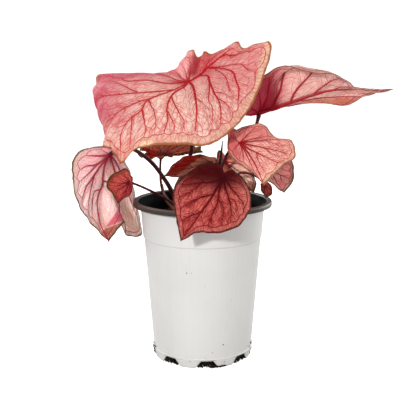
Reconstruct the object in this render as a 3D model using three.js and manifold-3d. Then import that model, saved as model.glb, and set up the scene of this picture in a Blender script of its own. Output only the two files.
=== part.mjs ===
// A caladium in its nursery pot. Millimetres, +Z up, origin at the centre of the pot's foot.
import * as THREE from 'three';
import { mergeVertices } from 'three/addons/utils/BufferGeometryUtils.js';
import Module from 'manifold-3d';

const wasm = await Module();
wasm.setup();

// ---- driving dimensions ----
const gap = 0.3; // left between pieces that touch
const holeClearance = 0.4; // round a stem, where it stands in the soil

const pot = {
  height: 161,
  rimRadius: 70, // outer edge of the rolled lip
  mouthRadius: 64.8,
  lipHeight: 5,
  lipThickness: 1.8,
  flareDrop: 0.6, // how far under the lip's edge the wall starts to flare inside
  collarRadius: 62.6, // outside, just under the lip
  stepHeight: 124, // where the collar ends and the body begins
  stepDepth: 0.9,
  bevel: 1.2, // height in which a step runs out, and width of the lip's chamfers
  creaseHeight: 8.7,
  creaseRadius: 51.4,
  footRadius: 49.8,
  wall: 1.4,
  floor: 1.6,
  floorFillet: 3.5,
  segments: 56,
};

const notch = {
  count: 8,
  firstAngle: -85, // degrees, measured from +X
  topWidth: 12,
  footWidth: 24,
  height: 7.2,
  innerRadius: 41,
};

const soil = {
  level: 143,
  relief: 1.4, // how much higher it lies in the middle
  lumps: 0.85, // height of the lumps in it
  rings: 6,
  segments: 56,
};

const tuber = {
  centreHeight: 104,
  radius: 31,
  halfHeight: 17,
  knobs: 1.6, // how far the buds stand out low on its sides
  knobCount: 5,
  clearance: 0.7, // between it and the soil, so that each stem's hole opens onto it
  rings: 10,
  segments: 24,
};

const blade = {
  thickness: 0.9,
  knee: 0.5, // how far out the knee lies where the margin doesn't say, as a share of the reach
  fineSteps: 200, // along each side of the margin, before it is shared out evenly
};

const stalk = {
  sides: 8,
  step: 9, // length of one straight piece
  fewestSteps: 5,
  foot: 0.76, // its foot's distance from the pot's axis, as a share of its distance at soil level
};

const colours = {
  pot: 0xd9d8d6,
  soil: 0x1a1512,
  tuber: 0x5a4030,
  stem: 0x47161a,
  newLeaf: 0x1c2416,
  sheath: 0x6b3a2c,
};

const roughness = {
  pot: 0.45,
  soil: 0.95,
  tuber: 0.8,
  stem: 0.5,
  blade: 0.55,
};

const weldDistance = 1e-4;

// Each blade hangs on its stem at `at`, square to `up` there, and ends in the margin `rim`. The margin
// runs from the notch down one side to the tip and back, anticlockwise seen from the upper face.
// Between stem and margin the blade is drawn towards a knee. A fourth number puts the knee in the
// blade's plane at the stem, that share of the way out, and six numbers give the knee itself.
// The stem's path leads from where it leaves the soil to just short of the blade, and its radius goes
// from `foot` to `neck`.
const leaves = [
  {
    name: 'top', colour: 0xe2a096, rings: 6, sectors: 48,
    at: [-15, -10, 278], up: [-0.05, -0.34, 0.93], tip: 8,
    stem: {
      foot: 2.4, neck: 1.6,
      path: [[-17, -1, soil.level], [-27, -2, 169], [-20, -2, 187], [-11, -2, 210], [-12, -6, 245]],
    },
    rim: [
      [-5, 16, 302], [-12, 28, 309], [-34, 56, 286], [-71, 64, 281], [-105, 46, 281, 0.6],
      [-105, 24, 261, 1.1], [-97, -12, 224, 0.9], [-86, -36, 214, 0.6], [-76, -54, 204],
      [-59, -58, 219], [-28, -60, 223], [9, -54, 223], [44, -36, 247], [62, -10, 280],
      [68, 16, 316], [51, 26, 310], [36, 30, 317], [11, 24, 305],
    ],
  },
  {
    name: 'right', colour: 0xcd9a8c, rings: 6, sectors: 40,
    at: [58, 34, 244], up: [-0.4, 0.5, 0.77], tip: 11,
    stem: {
      foot: 2.3, neck: 1.4,
      path: [[14, 7, soil.level], [23, 7, 164], [38, 14, 189], [49, 24, 213], [56, 32, 234]],
    },
    rim: [
      [49, 32, 242], [45, 25, 243, 51, 29, 243], [38, 19, 249, 47, 27, 245],
      [40, 15, 264, 49, 24, 253], [55, 13, 280, 56, 24, 262], [73, 10, 291, 63, 24, 270],
      [87, 8, 294, 70, 24, 277], [99, 6, 288, 80, 26, 308], [123, 7, 285, 92, 28, 306],
      [138, 10, 283, 100, 30, 294], [160, 24, 270, 112, 34, 282], [198, 44, 268, 122, 42, 268],
      [171, 50, 256, 118, 46, 265], [149, 50, 251, 106, 46, 260], [129, 54, 256, 98, 48, 260],
      [108, 62, 258, 88, 48, 256], [79, 74, 256, 66, 54, 250], [62, 62, 249, 58, 48, 246],
    ],
  },
  {
    name: 'left', colour: 0xd8a8a4, rings: 6, sectors: 40,
    at: [-91, -12, 208], up: [-0.75, 0.55, 0.36], tip: 8,
    stem: {
      foot: 2.6, neck: 1.7,
      path: [
        [-20, 6, soil.level], [-31, 5, 168], [-38, 1, 181], [-51, -7, 200], [-67, -15, 213],
        [-81, -19, 218],
      ],
    },
    rim: [
      [-94, -8, 215], [-85, 8, 210], [-76, 19, 191], [-71, 22, 168], [-67, 24, 144], [-63, 20, 120],
      [-72, 2, 122], [-77, -16, 140], [-93, -26, 123], [-111, -36, 147], [-122, -36, 168],
      [-126, -28, 189], [-126, -16, 206], [-111, -10, 215],
    ],
  },
  {
    name: 'lobe', colour: 0xa84440, rings: 4, sectors: 24,
    at: [-69, -46, 186], up: [-0.3, -0.8, 0.4], tip: 5,
    stem: {
      foot: 1.7, neck: 1.1,
      path: [[-12, -9, soil.level], [-32, -18, 162], [-49, -30, 174], [-60, -39, 181]],
    },
    rim: [
      [-66, -47, 191], [-71, -46, 198], [-80, -50, 197], [-90, -54, 187], [-86, -58, 178],
      [-79, -60, 168], [-68, -54, 175], [-66, -48, 182],
    ],
  },
  {
    name: 'front', colour: 0xa0403c, rings: 6, sectors: 40,
    at: [20, -58, 192], up: [-0.1, -0.6, 0.8], tip: 7,
    stem: {
      foot: 2.2, neck: 1.5,
      path: [[6, -18, soil.level], [9, -24, 169], [15, -42, 186]],
    },
    rim: [
      [20, -54, 196], [16, -52, 204], [1, -58, 205], [-14, -64, 197], [-26, -72, 185],
      [-26, -80, 168], [-23, -86, 154], [-20, -88, 138], [-6, -96, 147], [17, -96, 148],
      [34, -92, 154], [44, -84, 170], [41, -70, 188], [28, -58, 199],
    ],
  },
  {
    name: 'middle', colour: 0xd28478, rings: 5, sectors: 40,
    at: [36, -30, 221], up: [-0.1, -0.7, 0.7], tip: 7,
    stem: {
      foot: 2, neck: 1.3,
      path: [[8, -6, soil.level], [13, -6, 171], [21, -13, 201], [27, -20, 213]],
    },
    rim: [
      [33, -24, 226], [26, -22, 233], [26, -28, 221], [30, -36, 210], [39, -42, 201], [47, -47, 195],
      [53, -50, 189], [58, -52, 183], [63, -50, 188], [76, -44, 200], [89, -36, 209], [85, -26, 224],
      [71, -20, 225], [61, -14, 237], [45, -16, 237],
    ],
  },
  {
    name: 'low', colour: 0xc07870, rings: 4, sectors: 28,
    at: [66, 2, 192], up: [0.2, -0.8, 0.5], tip: 4,
    stem: {
      foot: 1.9, neck: 1.2,
      path: [[20, -1, soil.level], [33, 1, 170], [48, 8, 184], [60, 12, 189]],
    },
    rim: [
      [66, 6, 200], [55, -4, 191], [63, -12, 182], [73, -16, 176], [81, -14, 169], [91, -4, 181],
      [91, 4, 198], [80, 8, 203],
    ],
  },
  {
    name: 'back', colour: 0xbe8870, rings: 4, sectors: 28,
    at: [22, 8, 198], up: [0, -0.8, 0.5], tip: 5,
    stem: {
      foot: 1.8, neck: 1.2,
      path: [[2, 9, soil.level], [10, 14, 169], [18, 20, 187]],
    },
    rim: [
      [23, 12, 203], [17, 14, 209], [14, 10, 201], [17, 2, 188], [35, -8, 178], [51, -14, 170],
      [54, -6, 179], [45, 4, 195], [33, 12, 207],
    ],
  },
  {
    name: 'shade', colour: 0x6e1e18, rings: 4, sectors: 28,
    at: [10, -22, 201], up: [0, -0.3, 0.95], tip: 4,
    stem: {
      foot: 1.8, neck: 1.2,
      path: [[-1, -11, soil.level], [3, -13, 172], [8, -18, 190]],
    },
    rim: [
      [14, -16, 202], [11, -10, 204], [-5, -8, 207], [-23, -20, 204], [-38, -44, 190],
      [-21, -50, 192], [-2, -53, 199], [11, -42, 201],
    ],
  },
  {
    name: 'under', colour: 0x7a2c20, rings: 4, sectors: 28,
    at: [-42, 10, 204], up: [0, -0.3, 0.95], tip: 5,
    stem: {
      foot: 1.7, neck: 1.1,
      path: [[-26, 14, soil.level], [-41, 17, 167], [-43, 15, 190]],
    },
    rim: [
      [-54, 13, 206], [-66, 6, 205], [-48, 2, 202], [-20, 7, 206], [-3, 11, 208], [1, 19, 208],
      [-3, 26, 210], [-13, 34, 213], [-34, 38, 217], [-54, 32, 214], [-65, 23, 210],
    ],
  },
  {
    name: 'young', colour: 0x7c3c30, rings: 3, sectors: 20,
    at: [60, -25, 180], up: [0.3, -0.9, 0.3], tip: 4,
    stem: {
      foot: 1.5, neck: 1,
      path: [[15, -12, soil.level], [25, -12, 172], [37, -17, 190], [48, -19, 189], [57, -20, 184]],
    },
    rim: [
      [62, -23, 183], [57, -25, 180], [57, -28, 177], [58, -30, 173], [61, -31, 167],
      [65, -28, 169], [68, -26, 171], [68, -23, 176], [65, -22, 181],
    ],
  },
];

// Two things rise from the tuber without a blade: a new leaf still rolled up, and the dry sheath of an
// old leaf.
const shoots = [
  {
    name: 'new_leaf', colour: colours.newLeaf, radii: [1.6, 1.5, 1.9, 1.8, 0.35],
    path: [[6, 2, soil.level], [12, -1, 171], [18, -5, 202], [20, -8, 221]],
  },
  {
    name: 'sheath', colour: colours.sheath, radii: [2.2, 2.4, 2.1, 1.5, 0.4],
    path: [[-22, -7, soil.level], [-37, -5, 163], [-40, -2, 177]],
  },
];

// ---- helpers ----
const vec = (p) => new THREE.Vector3(p[0], p[1], p[2]);

function finish(name, geometry, colour, rough) {
  geometry.computeVertexNormals();
  const material = new THREE.MeshStandardMaterial({ color: colour, roughness: rough, metalness: 0 });
  const mesh = new THREE.Mesh(geometry, material);
  mesh.name = name;
  return mesh;
}

function welded(geometry) {
  const bare = new THREE.BufferGeometry();
  bare.setAttribute('position', geometry.getAttribute('position'));
  bare.setIndex(geometry.getIndex());
  return mergeVertices(bare, weldDistance);
}

function solid(geometry) {
  const bare = welded(geometry);
  const vertProperties = new Float32Array(bare.getAttribute('position').array);
  const triVerts = new Uint32Array(bare.getIndex().array);
  return new wasm.Manifold(new wasm.Mesh({ numProp: 3, vertProperties, triVerts }));
}

function geometryOf(body) {
  const mesh = body.getMesh();
  const geometry = new THREE.BufferGeometry();
  geometry.setAttribute('position', new THREE.BufferAttribute(new Float32Array(mesh.vertProperties), 3));
  geometry.setIndex(new THREE.BufferAttribute(new Uint32Array(mesh.triVerts), 1));
  return geometry;
}

function geometryFrom(points, faces) {
  const geometry = new THREE.BufferGeometry();
  geometry.setFromPoints(points);
  geometry.setIndex(faces.flat());
  return geometry;
}

// ---- pot ----
const lipFoot = pot.height - pot.lipHeight;
const slope = (pot.collarRadius - pot.creaseRadius) / (lipFoot - pot.creaseHeight);
const collarAt = (z) => pot.creaseRadius + slope * (z - pot.creaseHeight);
const bodyAt = (z) => collarAt(z) - pot.stepDepth;
const insideAt = (z) => bodyAt(z) - pot.wall;

function makePot() {
  const outline = [
    [0, 0],
    [pot.footRadius, 0],
    [pot.creaseRadius, pot.creaseHeight],
    [bodyAt(pot.creaseHeight + pot.bevel), pot.creaseHeight + pot.bevel],
    [bodyAt(pot.stepHeight - pot.bevel), pot.stepHeight - pot.bevel],
    [collarAt(pot.stepHeight), pot.stepHeight],
    [pot.collarRadius, lipFoot],
    [pot.mouthRadius + pot.lipThickness, pot.height - pot.lipThickness],
    [pot.rimRadius - pot.wall, pot.height - pot.lipThickness],
    [pot.rimRadius - pot.wall, lipFoot],
    [pot.rimRadius, lipFoot],
    [pot.rimRadius, pot.height - pot.bevel],
    [pot.rimRadius - pot.bevel, pot.height],
    [pot.mouthRadius + pot.bevel, pot.height],
    [pot.mouthRadius, pot.height - pot.bevel],
    [insideAt(lipFoot - pot.flareDrop), lipFoot - pot.flareDrop],
    [insideAt(pot.creaseHeight), pot.creaseHeight],
    [pot.footRadius - pot.wall - pot.floorFillet, pot.floor],
    [0, pot.floor],
  ];
  const profile = outline.map(([r, z]) => new THREE.Vector2(r, z));
  const shell = new THREE.LatheGeometry(profile, pot.segments);
  shell.rotateX(Math.PI / 2);
  let body = solid(shell);
  const below = -1; // the cut starts clear of the foot
  const cut = new THREE.Shape([
    new THREE.Vector2(-notch.footWidth / 2, below),
    new THREE.Vector2(notch.footWidth / 2, below),
    new THREE.Vector2(notch.topWidth / 2, notch.height),
    new THREE.Vector2(-notch.topWidth / 2, notch.height),
  ]);
  for (let k = 0; k < notch.count; k += 1) {
    const depth = pot.rimRadius - notch.innerRadius;
    const cutter = new THREE.ExtrudeGeometry(cut, { depth, bevelEnabled: false });
    cutter.rotateX(Math.PI / 2); // the trapezium now stands up, facing -Y
    cutter.translate(0, -notch.innerRadius, 0);
    cutter.rotateZ(THREE.MathUtils.degToRad(notch.firstAngle + 90 + (360 / notch.count) * k));
    body = body.subtract(solid(cutter));
  }
  return finish('pot', geometryOf(body), colours.pot, roughness.pot);
}

// ---- leaves ----
// A Catmull-Rom spline through rows of numbers, open at both ends, sampled evenly along its length. The
// first three numbers of a row are a point, and the rest follow it.
function along(rows, count) {
  const last = rows.length - 1;
  const pad = [
    rows[0].map((v, i) => 2 * v - rows[1][i]),
    ...rows,
    rows[last].map((v, i) => 2 * v - rows[last - 1][i]),
  ];
  const fine = blade.fineSteps;
  const curve = [];
  for (let s = 0; s <= fine; s += 1) {
    const place = (s / fine) * last;
    const i = Math.min(Math.floor(place), last - 1);
    const f = place - i;
    const [a, b, c, d] = pad.slice(i, i + 4);
    curve.push(b.map((v, k) => {
      const cubic = 3 * (v - c[k]) + d[k] - a[k];
      const square = 2 * a[k] - 5 * v + 4 * c[k] - d[k];
      return v + 0.5 * f * (c[k] - a[k] + f * (square + f * cubic));
    }));
  }
  const reach = [0];
  for (let s = 1; s <= fine; s += 1) {
    const step = Math.hypot(...[0, 1, 2].map((k) => curve[s][k] - curve[s - 1][k]));
    reach.push(reach[s - 1] + step);
  }
  const picked = [];
  for (let n = 0; n <= count; n += 1) {
    const want = (n / count) * reach[fine];
    let s = 1;
    while (s < fine && reach[s] < want) s += 1;
    const f = (want - reach[s - 1]) / (reach[s] - reach[s - 1]);
    picked.push(curve[s].map((v, k) => curve[s - 1][k] + f * (v - curve[s - 1][k])));
  }
  return picked;
}

// A margin point with its knee, as one row of six numbers.
function withKnee(leaf, p) {
  if (p.length === 6) return p;
  const at = vec(leaf.at);
  const normal = vec(leaf.up).normalize();
  const out = vec(p).sub(at);
  const reach = out.length() * (p[3] ?? blade.knee);
  const level = out.addScaledVector(normal, -out.dot(normal)).setLength(reach);
  return [...p.slice(0, 3), ...at.add(level).toArray()];
}

// Rays of the blade: each is a parabola from the stem to the margin, drawn towards its knee.
function bladeRays(leaf) {
  const rim = leaf.rim.map((p) => withKnee(leaf, p));
  const half = leaf.sectors / 2;
  const down = along(rim.slice(0, leaf.tip + 1), half);
  const up = along([...rim.slice(leaf.tip), rim[0]], half);
  const margin = [...down.slice(0, half), ...up.slice(0, half)];
  return margin.map((row) => ({ at: vec(leaf.at), knee: vec(row.slice(3)), end: vec(row) }));
}

function onRay(ray, rho) {
  return ray.at.clone().multiplyScalar((1 - rho) ** 2)
    .addScaledVector(ray.knee, 2 * rho * (1 - rho))
    .addScaledVector(ray.end, rho ** 2);
}

function bladeGeometry(leaf) {
  const rays = bladeRays(leaf);
  const count = leaf.sectors;
  const normalAtStem = vec(leaf.up).normalize();
  const grid = [];
  for (let i = 0; i <= leaf.rings; i += 1) {
    grid.push(rays.map((ray) => onRay(ray, i / leaf.rings)));
  }
  const normals = grid.map((ring, i) => ring.map((p, n) => {
    if (i === 0) return normalAtStem;
    const inner = grid[i - 1][n];
    const outer = grid[Math.min(i + 1, leaf.rings)][n];
    const before = ring[(n + count - 1) % count];
    const after = ring[(n + 1) % count];
    return outer.clone().sub(inner).cross(after.clone().sub(before)).normalize();
  }));
  const points = [];
  const faces = [];
  const skin = (side) => {
    const start = points.length;
    points.push(vec(leaf.at).addScaledVector(normalAtStem, (side * blade.thickness) / 2));
    for (let i = 1; i <= leaf.rings; i += 1) {
      for (let n = 0; n < count; n += 1) {
        points.push(grid[i][n].clone().addScaledVector(normals[i][n], (side * blade.thickness) / 2));
      }
    }
    const index = (i, n) => start + 1 + (i - 1) * count + (n % count);
    const add = (a, b, c) => faces.push(side > 0 ? [a, b, c] : [a, c, b]);
    for (let n = 0; n < count; n += 1) {
      add(start, index(1, n), index(1, n + 1));
      for (let i = 1; i < leaf.rings; i += 1) {
        add(index(i, n), index(i + 1, n), index(i + 1, n + 1));
        add(index(i, n), index(i + 1, n + 1), index(i, n + 1));
      }
    }
    return (n) => index(leaf.rings, n);
  };
  const upper = skin(1);
  const lower = skin(-1);
  for (let n = 0; n < count; n += 1) {
    faces.push([upper(n), lower(n), lower(n + 1)]);
    faces.push([upper(n), lower(n + 1), upper(n + 1)]);
  }
  return geometryFrom(points, faces);
}

// ---- stems ----
// Height of the tuber's top at a distance from the pot's axis.
function tuberTop(distance) {
  const share = Math.max(0, distance) / tuber.radius;
  return tuber.centreHeight + tuber.halfHeight * Math.sqrt(1 - share ** 2);
}

// The stem's line goes down inside the soil to the tuber, a little nearer the pot's axis there.
function rooted(path, radius) {
  const x = stalk.foot * path[0][0];
  const y = stalk.foot * path[0][1];
  const z = tuberTop(Math.hypot(x, y) - radius) + holeClearance;
  return [new THREE.Vector3(x, y, z), ...path.map(vec)];
}

// A round stem whose radius follows the list `radii` from foot to end, grown by `extra` all over.
function stemGeometry(points, radii, extra = 0) {
  const curve = new THREE.CatmullRomCurve3(points, false, 'centripetal');
  const steps = Math.max(stalk.fewestSteps, Math.round(curve.getLength() / stalk.step));
  const corners = [];
  for (let k = 0; k < stalk.sides; k += 1) {
    const angle = (2 * Math.PI * k) / stalk.sides;
    corners.push(new THREE.Vector2(Math.cos(angle), Math.sin(angle)));
  }
  const section = new THREE.Shape(corners);
  const geometry = new THREE.ExtrudeGeometry(section, { steps, extrudePath: curve, bevelEnabled: false });
  const centres = curve.getSpacedPoints(steps);
  const position = geometry.getAttribute('position');
  const p = new THREE.Vector3();
  for (let v = 0; v < position.count; v += 1) {
    p.fromBufferAttribute(position, v);
    let nearest = 0;
    centres.forEach((c, i) => {
      if (c.distanceToSquared(p) < centres[nearest].distanceToSquared(p)) nearest = i;
    });
    const place = (nearest / steps) * (radii.length - 1);
    const i = Math.min(Math.floor(place), radii.length - 2);
    const radius = THREE.MathUtils.lerp(radii[i], radii[i + 1], place - i) + extra;
    p.sub(centres[nearest]).multiplyScalar(radius).add(centres[nearest]);
    position.setXYZ(v, p.x, p.y, p.z);
  }
  return welded(geometry);
}

// A leaf's stem ends just under its blade, farther off the more it leans against it.
function leafStem(leaf) {
  const { foot, neck, path } = leaf.stem;
  const at = vec(leaf.at);
  const normal = vec(leaf.up).normalize();
  const coming = at.clone().sub(vec(path[path.length - 1])).normalize();
  const lean = Math.sqrt(1 - coming.dot(normal) ** 2);
  const clear = blade.thickness / 2 + gap + neck * lean;
  const end = at.clone().addScaledVector(normal, -clear);
  return { points: [...rooted(path, foot), end], radii: [foot, neck] };
}

// ---- soil and tuber ----
// A closed skin over rings of points, all with as many points, from a point on top to one below.
function roundBody(top, rings, bottom) {
  const count = rings[0].length;
  const points = [top, ...rings.flat(), bottom];
  const last = points.length - 1;
  const index = (i, n) => 1 + i * count + (n % count);
  const faces = [];
  for (let n = 0; n < count; n += 1) {
    faces.push([0, index(0, n), index(0, n + 1)]);
    for (let i = 0; i < rings.length - 1; i += 1) {
      faces.push([index(i, n), index(i + 1, n), index(i + 1, n + 1)]);
      faces.push([index(i, n), index(i + 1, n + 1), index(i, n + 1)]);
    }
    faces.push([last, index(rings.length - 1, n + 1), index(rings.length - 1, n)]);
  }
  return geometryFrom(points, faces);
}

// Points round the pot's axis: radius and height are functions of the angle.
function ringOf(count, radius, height) {
  const points = [];
  for (let n = 0; n < count; n += 1) {
    const angle = (2 * Math.PI * n) / count;
    const r = radius(angle);
    points.push(new THREE.Vector3(r * Math.cos(angle), r * Math.sin(angle), height(angle)));
  }
  return points;
}

// A flattened ball with knobs in a ring on its lower half, grown by `extra` all over.
function tuberGeometry(extra = 0) {
  const rings = [];
  for (let i = 1; i < tuber.rings; i += 1) {
    const polar = (Math.PI * i) / tuber.rings;
    const low = Math.max(0, -Math.cos(polar)) * Math.sin(polar);
    const knob = (angle) => tuber.knobs * low * (1 + Math.cos(tuber.knobCount * angle));
    const radius = (angle) => (tuber.radius + extra + knob(angle)) * Math.sin(polar);
    const height = () => tuber.centreHeight + (tuber.halfHeight + extra) * Math.cos(polar);
    rings.push(ringOf(tuber.segments, radius, height));
  }
  const top = new THREE.Vector3(0, 0, tuber.centreHeight + tuber.halfHeight + extra);
  const bottom = new THREE.Vector3(0, 0, tuber.centreHeight - tuber.halfHeight - extra);
  return roundBody(top, rings, bottom);
}

// The soil fills the pot. Its top is a little higher in the middle, lumpy, and level at the wall.
function soilGeometry() {
  const rings = [];
  const topRadius = insideAt(soil.level) - gap;
  for (let i = 1; i <= soil.rings; i += 1) {
    const share = i / soil.rings;
    const lump = (angle) => Math.sin(3 * angle + 5 * share) * Math.sin(2 * angle + 7 * share);
    const height = (angle) => soil.level + soil.relief * (1 - share)
      + soil.lumps * lump(angle) * Math.sin(Math.PI * share);
    rings.push(ringOf(soil.segments, () => topRadius * share, height));
  }
  const wallFoot = insideAt(pot.creaseHeight) - gap;
  const floorEdge = pot.footRadius - pot.wall - pot.floorFillet - gap;
  rings.push(ringOf(soil.segments, () => wallFoot, () => pot.creaseHeight));
  rings.push(ringOf(soil.segments, () => floorEdge, () => pot.floor + gap));
  const top = new THREE.Vector3(0, 0, soil.level + soil.relief);
  return roundBody(top, rings, new THREE.Vector3(0, 0, pot.floor + gap));
}

// ---- assembly ----
const caladium = new THREE.Group();
caladium.add(makePot());

let earth = solid(soilGeometry()).subtract(solid(tuberGeometry(tuber.clearance)));
const plant = [];
for (const leaf of leaves) {
  const { points, radii } = leafStem(leaf);
  earth = earth.subtract(solid(stemGeometry(points, radii, holeClearance)));
  plant.push(finish(`stem_${leaf.name}`, stemGeometry(points, radii), colours.stem, roughness.stem));
  plant.push(finish(`leaf_${leaf.name}`, bladeGeometry(leaf), leaf.colour, roughness.blade));
}
for (const shoot of shoots) {
  const points = rooted(shoot.path, shoot.radii[0]);
  earth = earth.subtract(solid(stemGeometry(points, shoot.radii, holeClearance)));
  plant.push(finish(shoot.name, stemGeometry(points, shoot.radii), shoot.colour, roughness.stem));
}
caladium.add(finish('soil', geometryOf(earth), colours.soil, roughness.soil));
caladium.add(finish('tuber', tuberGeometry(), colours.tuber, roughness.tuber));
caladium.add(...plant);

export default caladium;
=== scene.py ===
# A caladium in its nursery pot. Lengths are in millimetres until makePiece turns them into metres. +Z is
# up, and the origin is the centre of the pot's foot.
import math
import bpy
import numpy as np
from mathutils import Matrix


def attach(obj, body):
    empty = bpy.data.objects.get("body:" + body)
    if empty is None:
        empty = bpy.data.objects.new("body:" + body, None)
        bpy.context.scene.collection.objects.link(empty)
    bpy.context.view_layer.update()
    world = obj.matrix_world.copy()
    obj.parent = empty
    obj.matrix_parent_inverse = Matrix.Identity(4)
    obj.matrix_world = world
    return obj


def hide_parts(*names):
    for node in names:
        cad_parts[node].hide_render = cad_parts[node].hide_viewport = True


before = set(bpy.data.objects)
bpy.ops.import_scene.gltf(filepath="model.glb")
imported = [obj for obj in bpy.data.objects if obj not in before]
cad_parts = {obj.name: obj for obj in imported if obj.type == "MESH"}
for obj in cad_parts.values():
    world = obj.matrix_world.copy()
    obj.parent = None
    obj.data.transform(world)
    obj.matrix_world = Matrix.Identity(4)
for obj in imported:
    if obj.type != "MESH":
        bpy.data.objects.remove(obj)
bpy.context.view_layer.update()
print("frame loaded")

# The camera stands straight in front of the pot, looks down by `pitch` and to the right by `yaw` (radians).
view = {"distance": 800, "height": 306.5, "pitch": 0.191, "yaw": 0.007, "lens": 69.68, "sensor": 36}

cameraData = bpy.data.cameras.new("plantCamera")
cameraData.lens = view["lens"]
cameraData.sensor_width = view["sensor"]
camera = bpy.data.objects.new("plantCamera", cameraData)
camera.location = (0, -view["distance"] / 1000, view["height"] / 1000)
camera.rotation_euler = (math.pi / 2 - view["pitch"], 0, -view["yaw"])
bpy.context.scene.collection.objects.link(camera)
bpy.context.scene.camera = camera
print("camera placed")


def unit(v):  # the same direction, one long
    v = np.asarray(v, float)
    return v / np.maximum(np.linalg.norm(v, axis=-1, keepdims=True), 1e-12)


def smooth(x, low, high):  # 0 below low, 1 above high, 3f^2 - 2f^3 between
    f = np.clip((np.asarray(x, float) - low) / (high - low), 0, 1)
    return f * f * (3 - 2 * f)


def reachAlong(points):  # length from the first point to each point
    steps = np.linalg.norm(np.diff(points, axis=0), axis=1)
    return np.concatenate([[0], np.cumsum(steps)])


def readAlong(curve, reach, want):  # the curve's columns at wanted lengths
    return np.stack([np.interp(want, reach, column) for column in curve.T], 1)


def flatPoints(radius, angle):  # pairs at that distance and angle
    return np.stack([radius * np.cos(angle), radius * np.sin(angle)], -1)


def roundAxis(radius, angle, height):  # points at that distance from the upright axis, angle and height
    return np.stack(np.broadcast_arrays(radius * np.cos(angle), radius * np.sin(angle), height), -1)


def padded(rows):  # one more row at each end, mirrored through the end
    return np.vstack([2 * rows[0] - rows[1], rows, 2 * rows[-1] - rows[-2]])


# Open Catmull-Rom curve through rows of numbers: in each span a cubic in f, which runs from 0 to 1.
def curveThrough(rows, count):
    rows = np.asarray(rows, float)
    last = len(rows) - 1
    along = np.linspace(0, last, count)
    span = np.minimum(along.astype(int), last - 1)
    f = (along - span)[:, None]
    pad = padded(rows)
    a, b, c, d = pad[span], pad[span + 1], pad[span + 2], pad[span + 3]
    return b + 0.5 * f * (c - a + f * (2 * a - 5 * b + 4 * c - d + f * (3 * (b - c) + d - a)))


# The same curve, with its samples evenly spaced along the first `solid` columns.
def evenCurve(rows, count, solid=3, samples=400):
    curve = curveThrough(rows, samples)
    reach = reachAlong(curve[:, :solid])
    return readAlong(curve, reach, np.linspace(0, reach[-1], count))


# Faces of a grid of rows by columns whose points are numbered row by row from `start`. They face column
# direction cross row direction, or the other way with `turned`. With `around` the last column joins the
# first.
def gridFaces(rows, columns, start=0, around=False, turned=False):
    i, j = np.meshgrid(np.arange(rows - 1), np.arange(columns if around else columns - 1), indexing="ij")
    k = (j + 1) % columns
    corners = [i * columns + j, i * columns + k, (i + 1) * columns + k, (i + 1) * columns + j]
    faces = start + np.stack(corners, -1).reshape(-1, 4)
    return faces[:, ::-1] if turned else faces


# Triangles from one point to a ring of points.
def fanFaces(pole, ring, turned=False):
    ring = np.asarray(ring)
    following = np.roll(ring, -1)
    pair = (following, ring) if turned else (ring, following)
    return np.stack([np.full(len(ring), pole), *pair], -1)


# A mesh object out of points in millimetres and groups of faces. `kept` holds attributes of four numbers a
# point by name, and `flat` the pair of numbers a point that goes into the UV map.
def makePiece(name, points, faces, material, kept=None, flat=None):
    mesh = bpy.data.meshes.new(name)
    faceList = [face for group in faces for face in np.asarray(group).tolist()]
    mesh.from_pydata((np.asarray(points, float) / 1000).tolist(), [], faceList)
    mesh.polygons.foreach_set("use_smooth", np.ones(len(mesh.polygons), bool))
    for key, numbers in (kept or {}).items():
        attribute = mesh.attributes.new(key, "FLOAT_COLOR", "POINT")
        attribute.data.foreach_set("color", np.ascontiguousarray(numbers, np.float32).ravel())
    if flat is not None:
        corner = np.zeros(len(mesh.loops), np.int32)
        mesh.loops.foreach_get("vertex_index", corner)
        layer = mesh.uv_layers.new(name="flat")
        layer.data.foreach_set("uv", np.ascontiguousarray(np.asarray(flat)[corner], np.float32).ravel())
    mesh.update()
    mesh.materials.append(material)
    piece = bpy.data.objects.new(name, mesh)
    bpy.context.scene.collection.objects.link(piece)
    return piece


def fourNumbers(*columns):  # up to three numbers a point, filled up with 0 and a last 1
    columns = np.broadcast_arrays(*columns)
    spare = [np.zeros_like(columns[0])] * (3 - len(columns))
    return np.stack([*columns, *spare, np.ones_like(columns[0])], -1)


def stand(piece, slot, *nodes):  # rides on the plant's one body, in the place of its CAD nodes
    if nodes:
        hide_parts(*nodes)
    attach(piece, "root")


def paint(code):  # a hex colour as linear numbers
    channel = np.array([int(code[i:i + 2], 16) for i in (0, 2, 4)]) / 255
    linear = np.where(channel <= 0.04045, channel / 12.92, ((channel + 0.055) / 1.055) ** 2.4)
    return (*linear.tolist(), 1.0)


# A node with its settings and sockets. A socket among the values is linked, anything else is set.
def put(tree, kind, sockets=None, **settings):
    made = tree.nodes.new(kind)
    for key, value in settings.items():
        setattr(made, key, value)
    for key, value in (sockets or {}).items():
        if isinstance(value, bpy.types.NodeSocket):
            tree.links.new(value, made.inputs[key])
        else:
            made.inputs[key].default_value = value
    return made


def mathOf(tree, operation, a, b=0.0, clamp=False):
    return put(tree, "ShaderNodeMath", {0: a, 1: b}, operation=operation, use_clamp=clamp).outputs[0]


def times(tree, a, b):
    return mathOf(tree, "MULTIPLY", a, b)


def plus(tree, a, b):
    return mathOf(tree, "ADD", a, b)


def scaled(tree, value, gain, offset=0.0):
    return put(tree, "ShaderNodeMath", {0: value, 1: gain, 2: offset}, operation="MULTIPLY_ADD").outputs[0]


def blendOf(tree, share, a, b):  # colour a, with that share of colour b
    return put(tree, "ShaderNodeMix", {0: share, 6: a, 7: b}, data_type="RGBA").outputs[2]


def rangeOf(tree, value, low, high, toLow=0.0, toHigh=1.0):  # an S-shaped step from low to high
    sockets = {0: value, 1: low, 2: high, 3: toLow, 4: toHigh}
    return put(tree, "ShaderNodeMapRange", sockets, interpolation_type="SMOOTHSTEP").outputs[0]


def partsOf(tree, colour):  # the three numbers in a colour
    return put(tree, "ShaderNodeSeparateColor", {0: colour}).outputs


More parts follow.
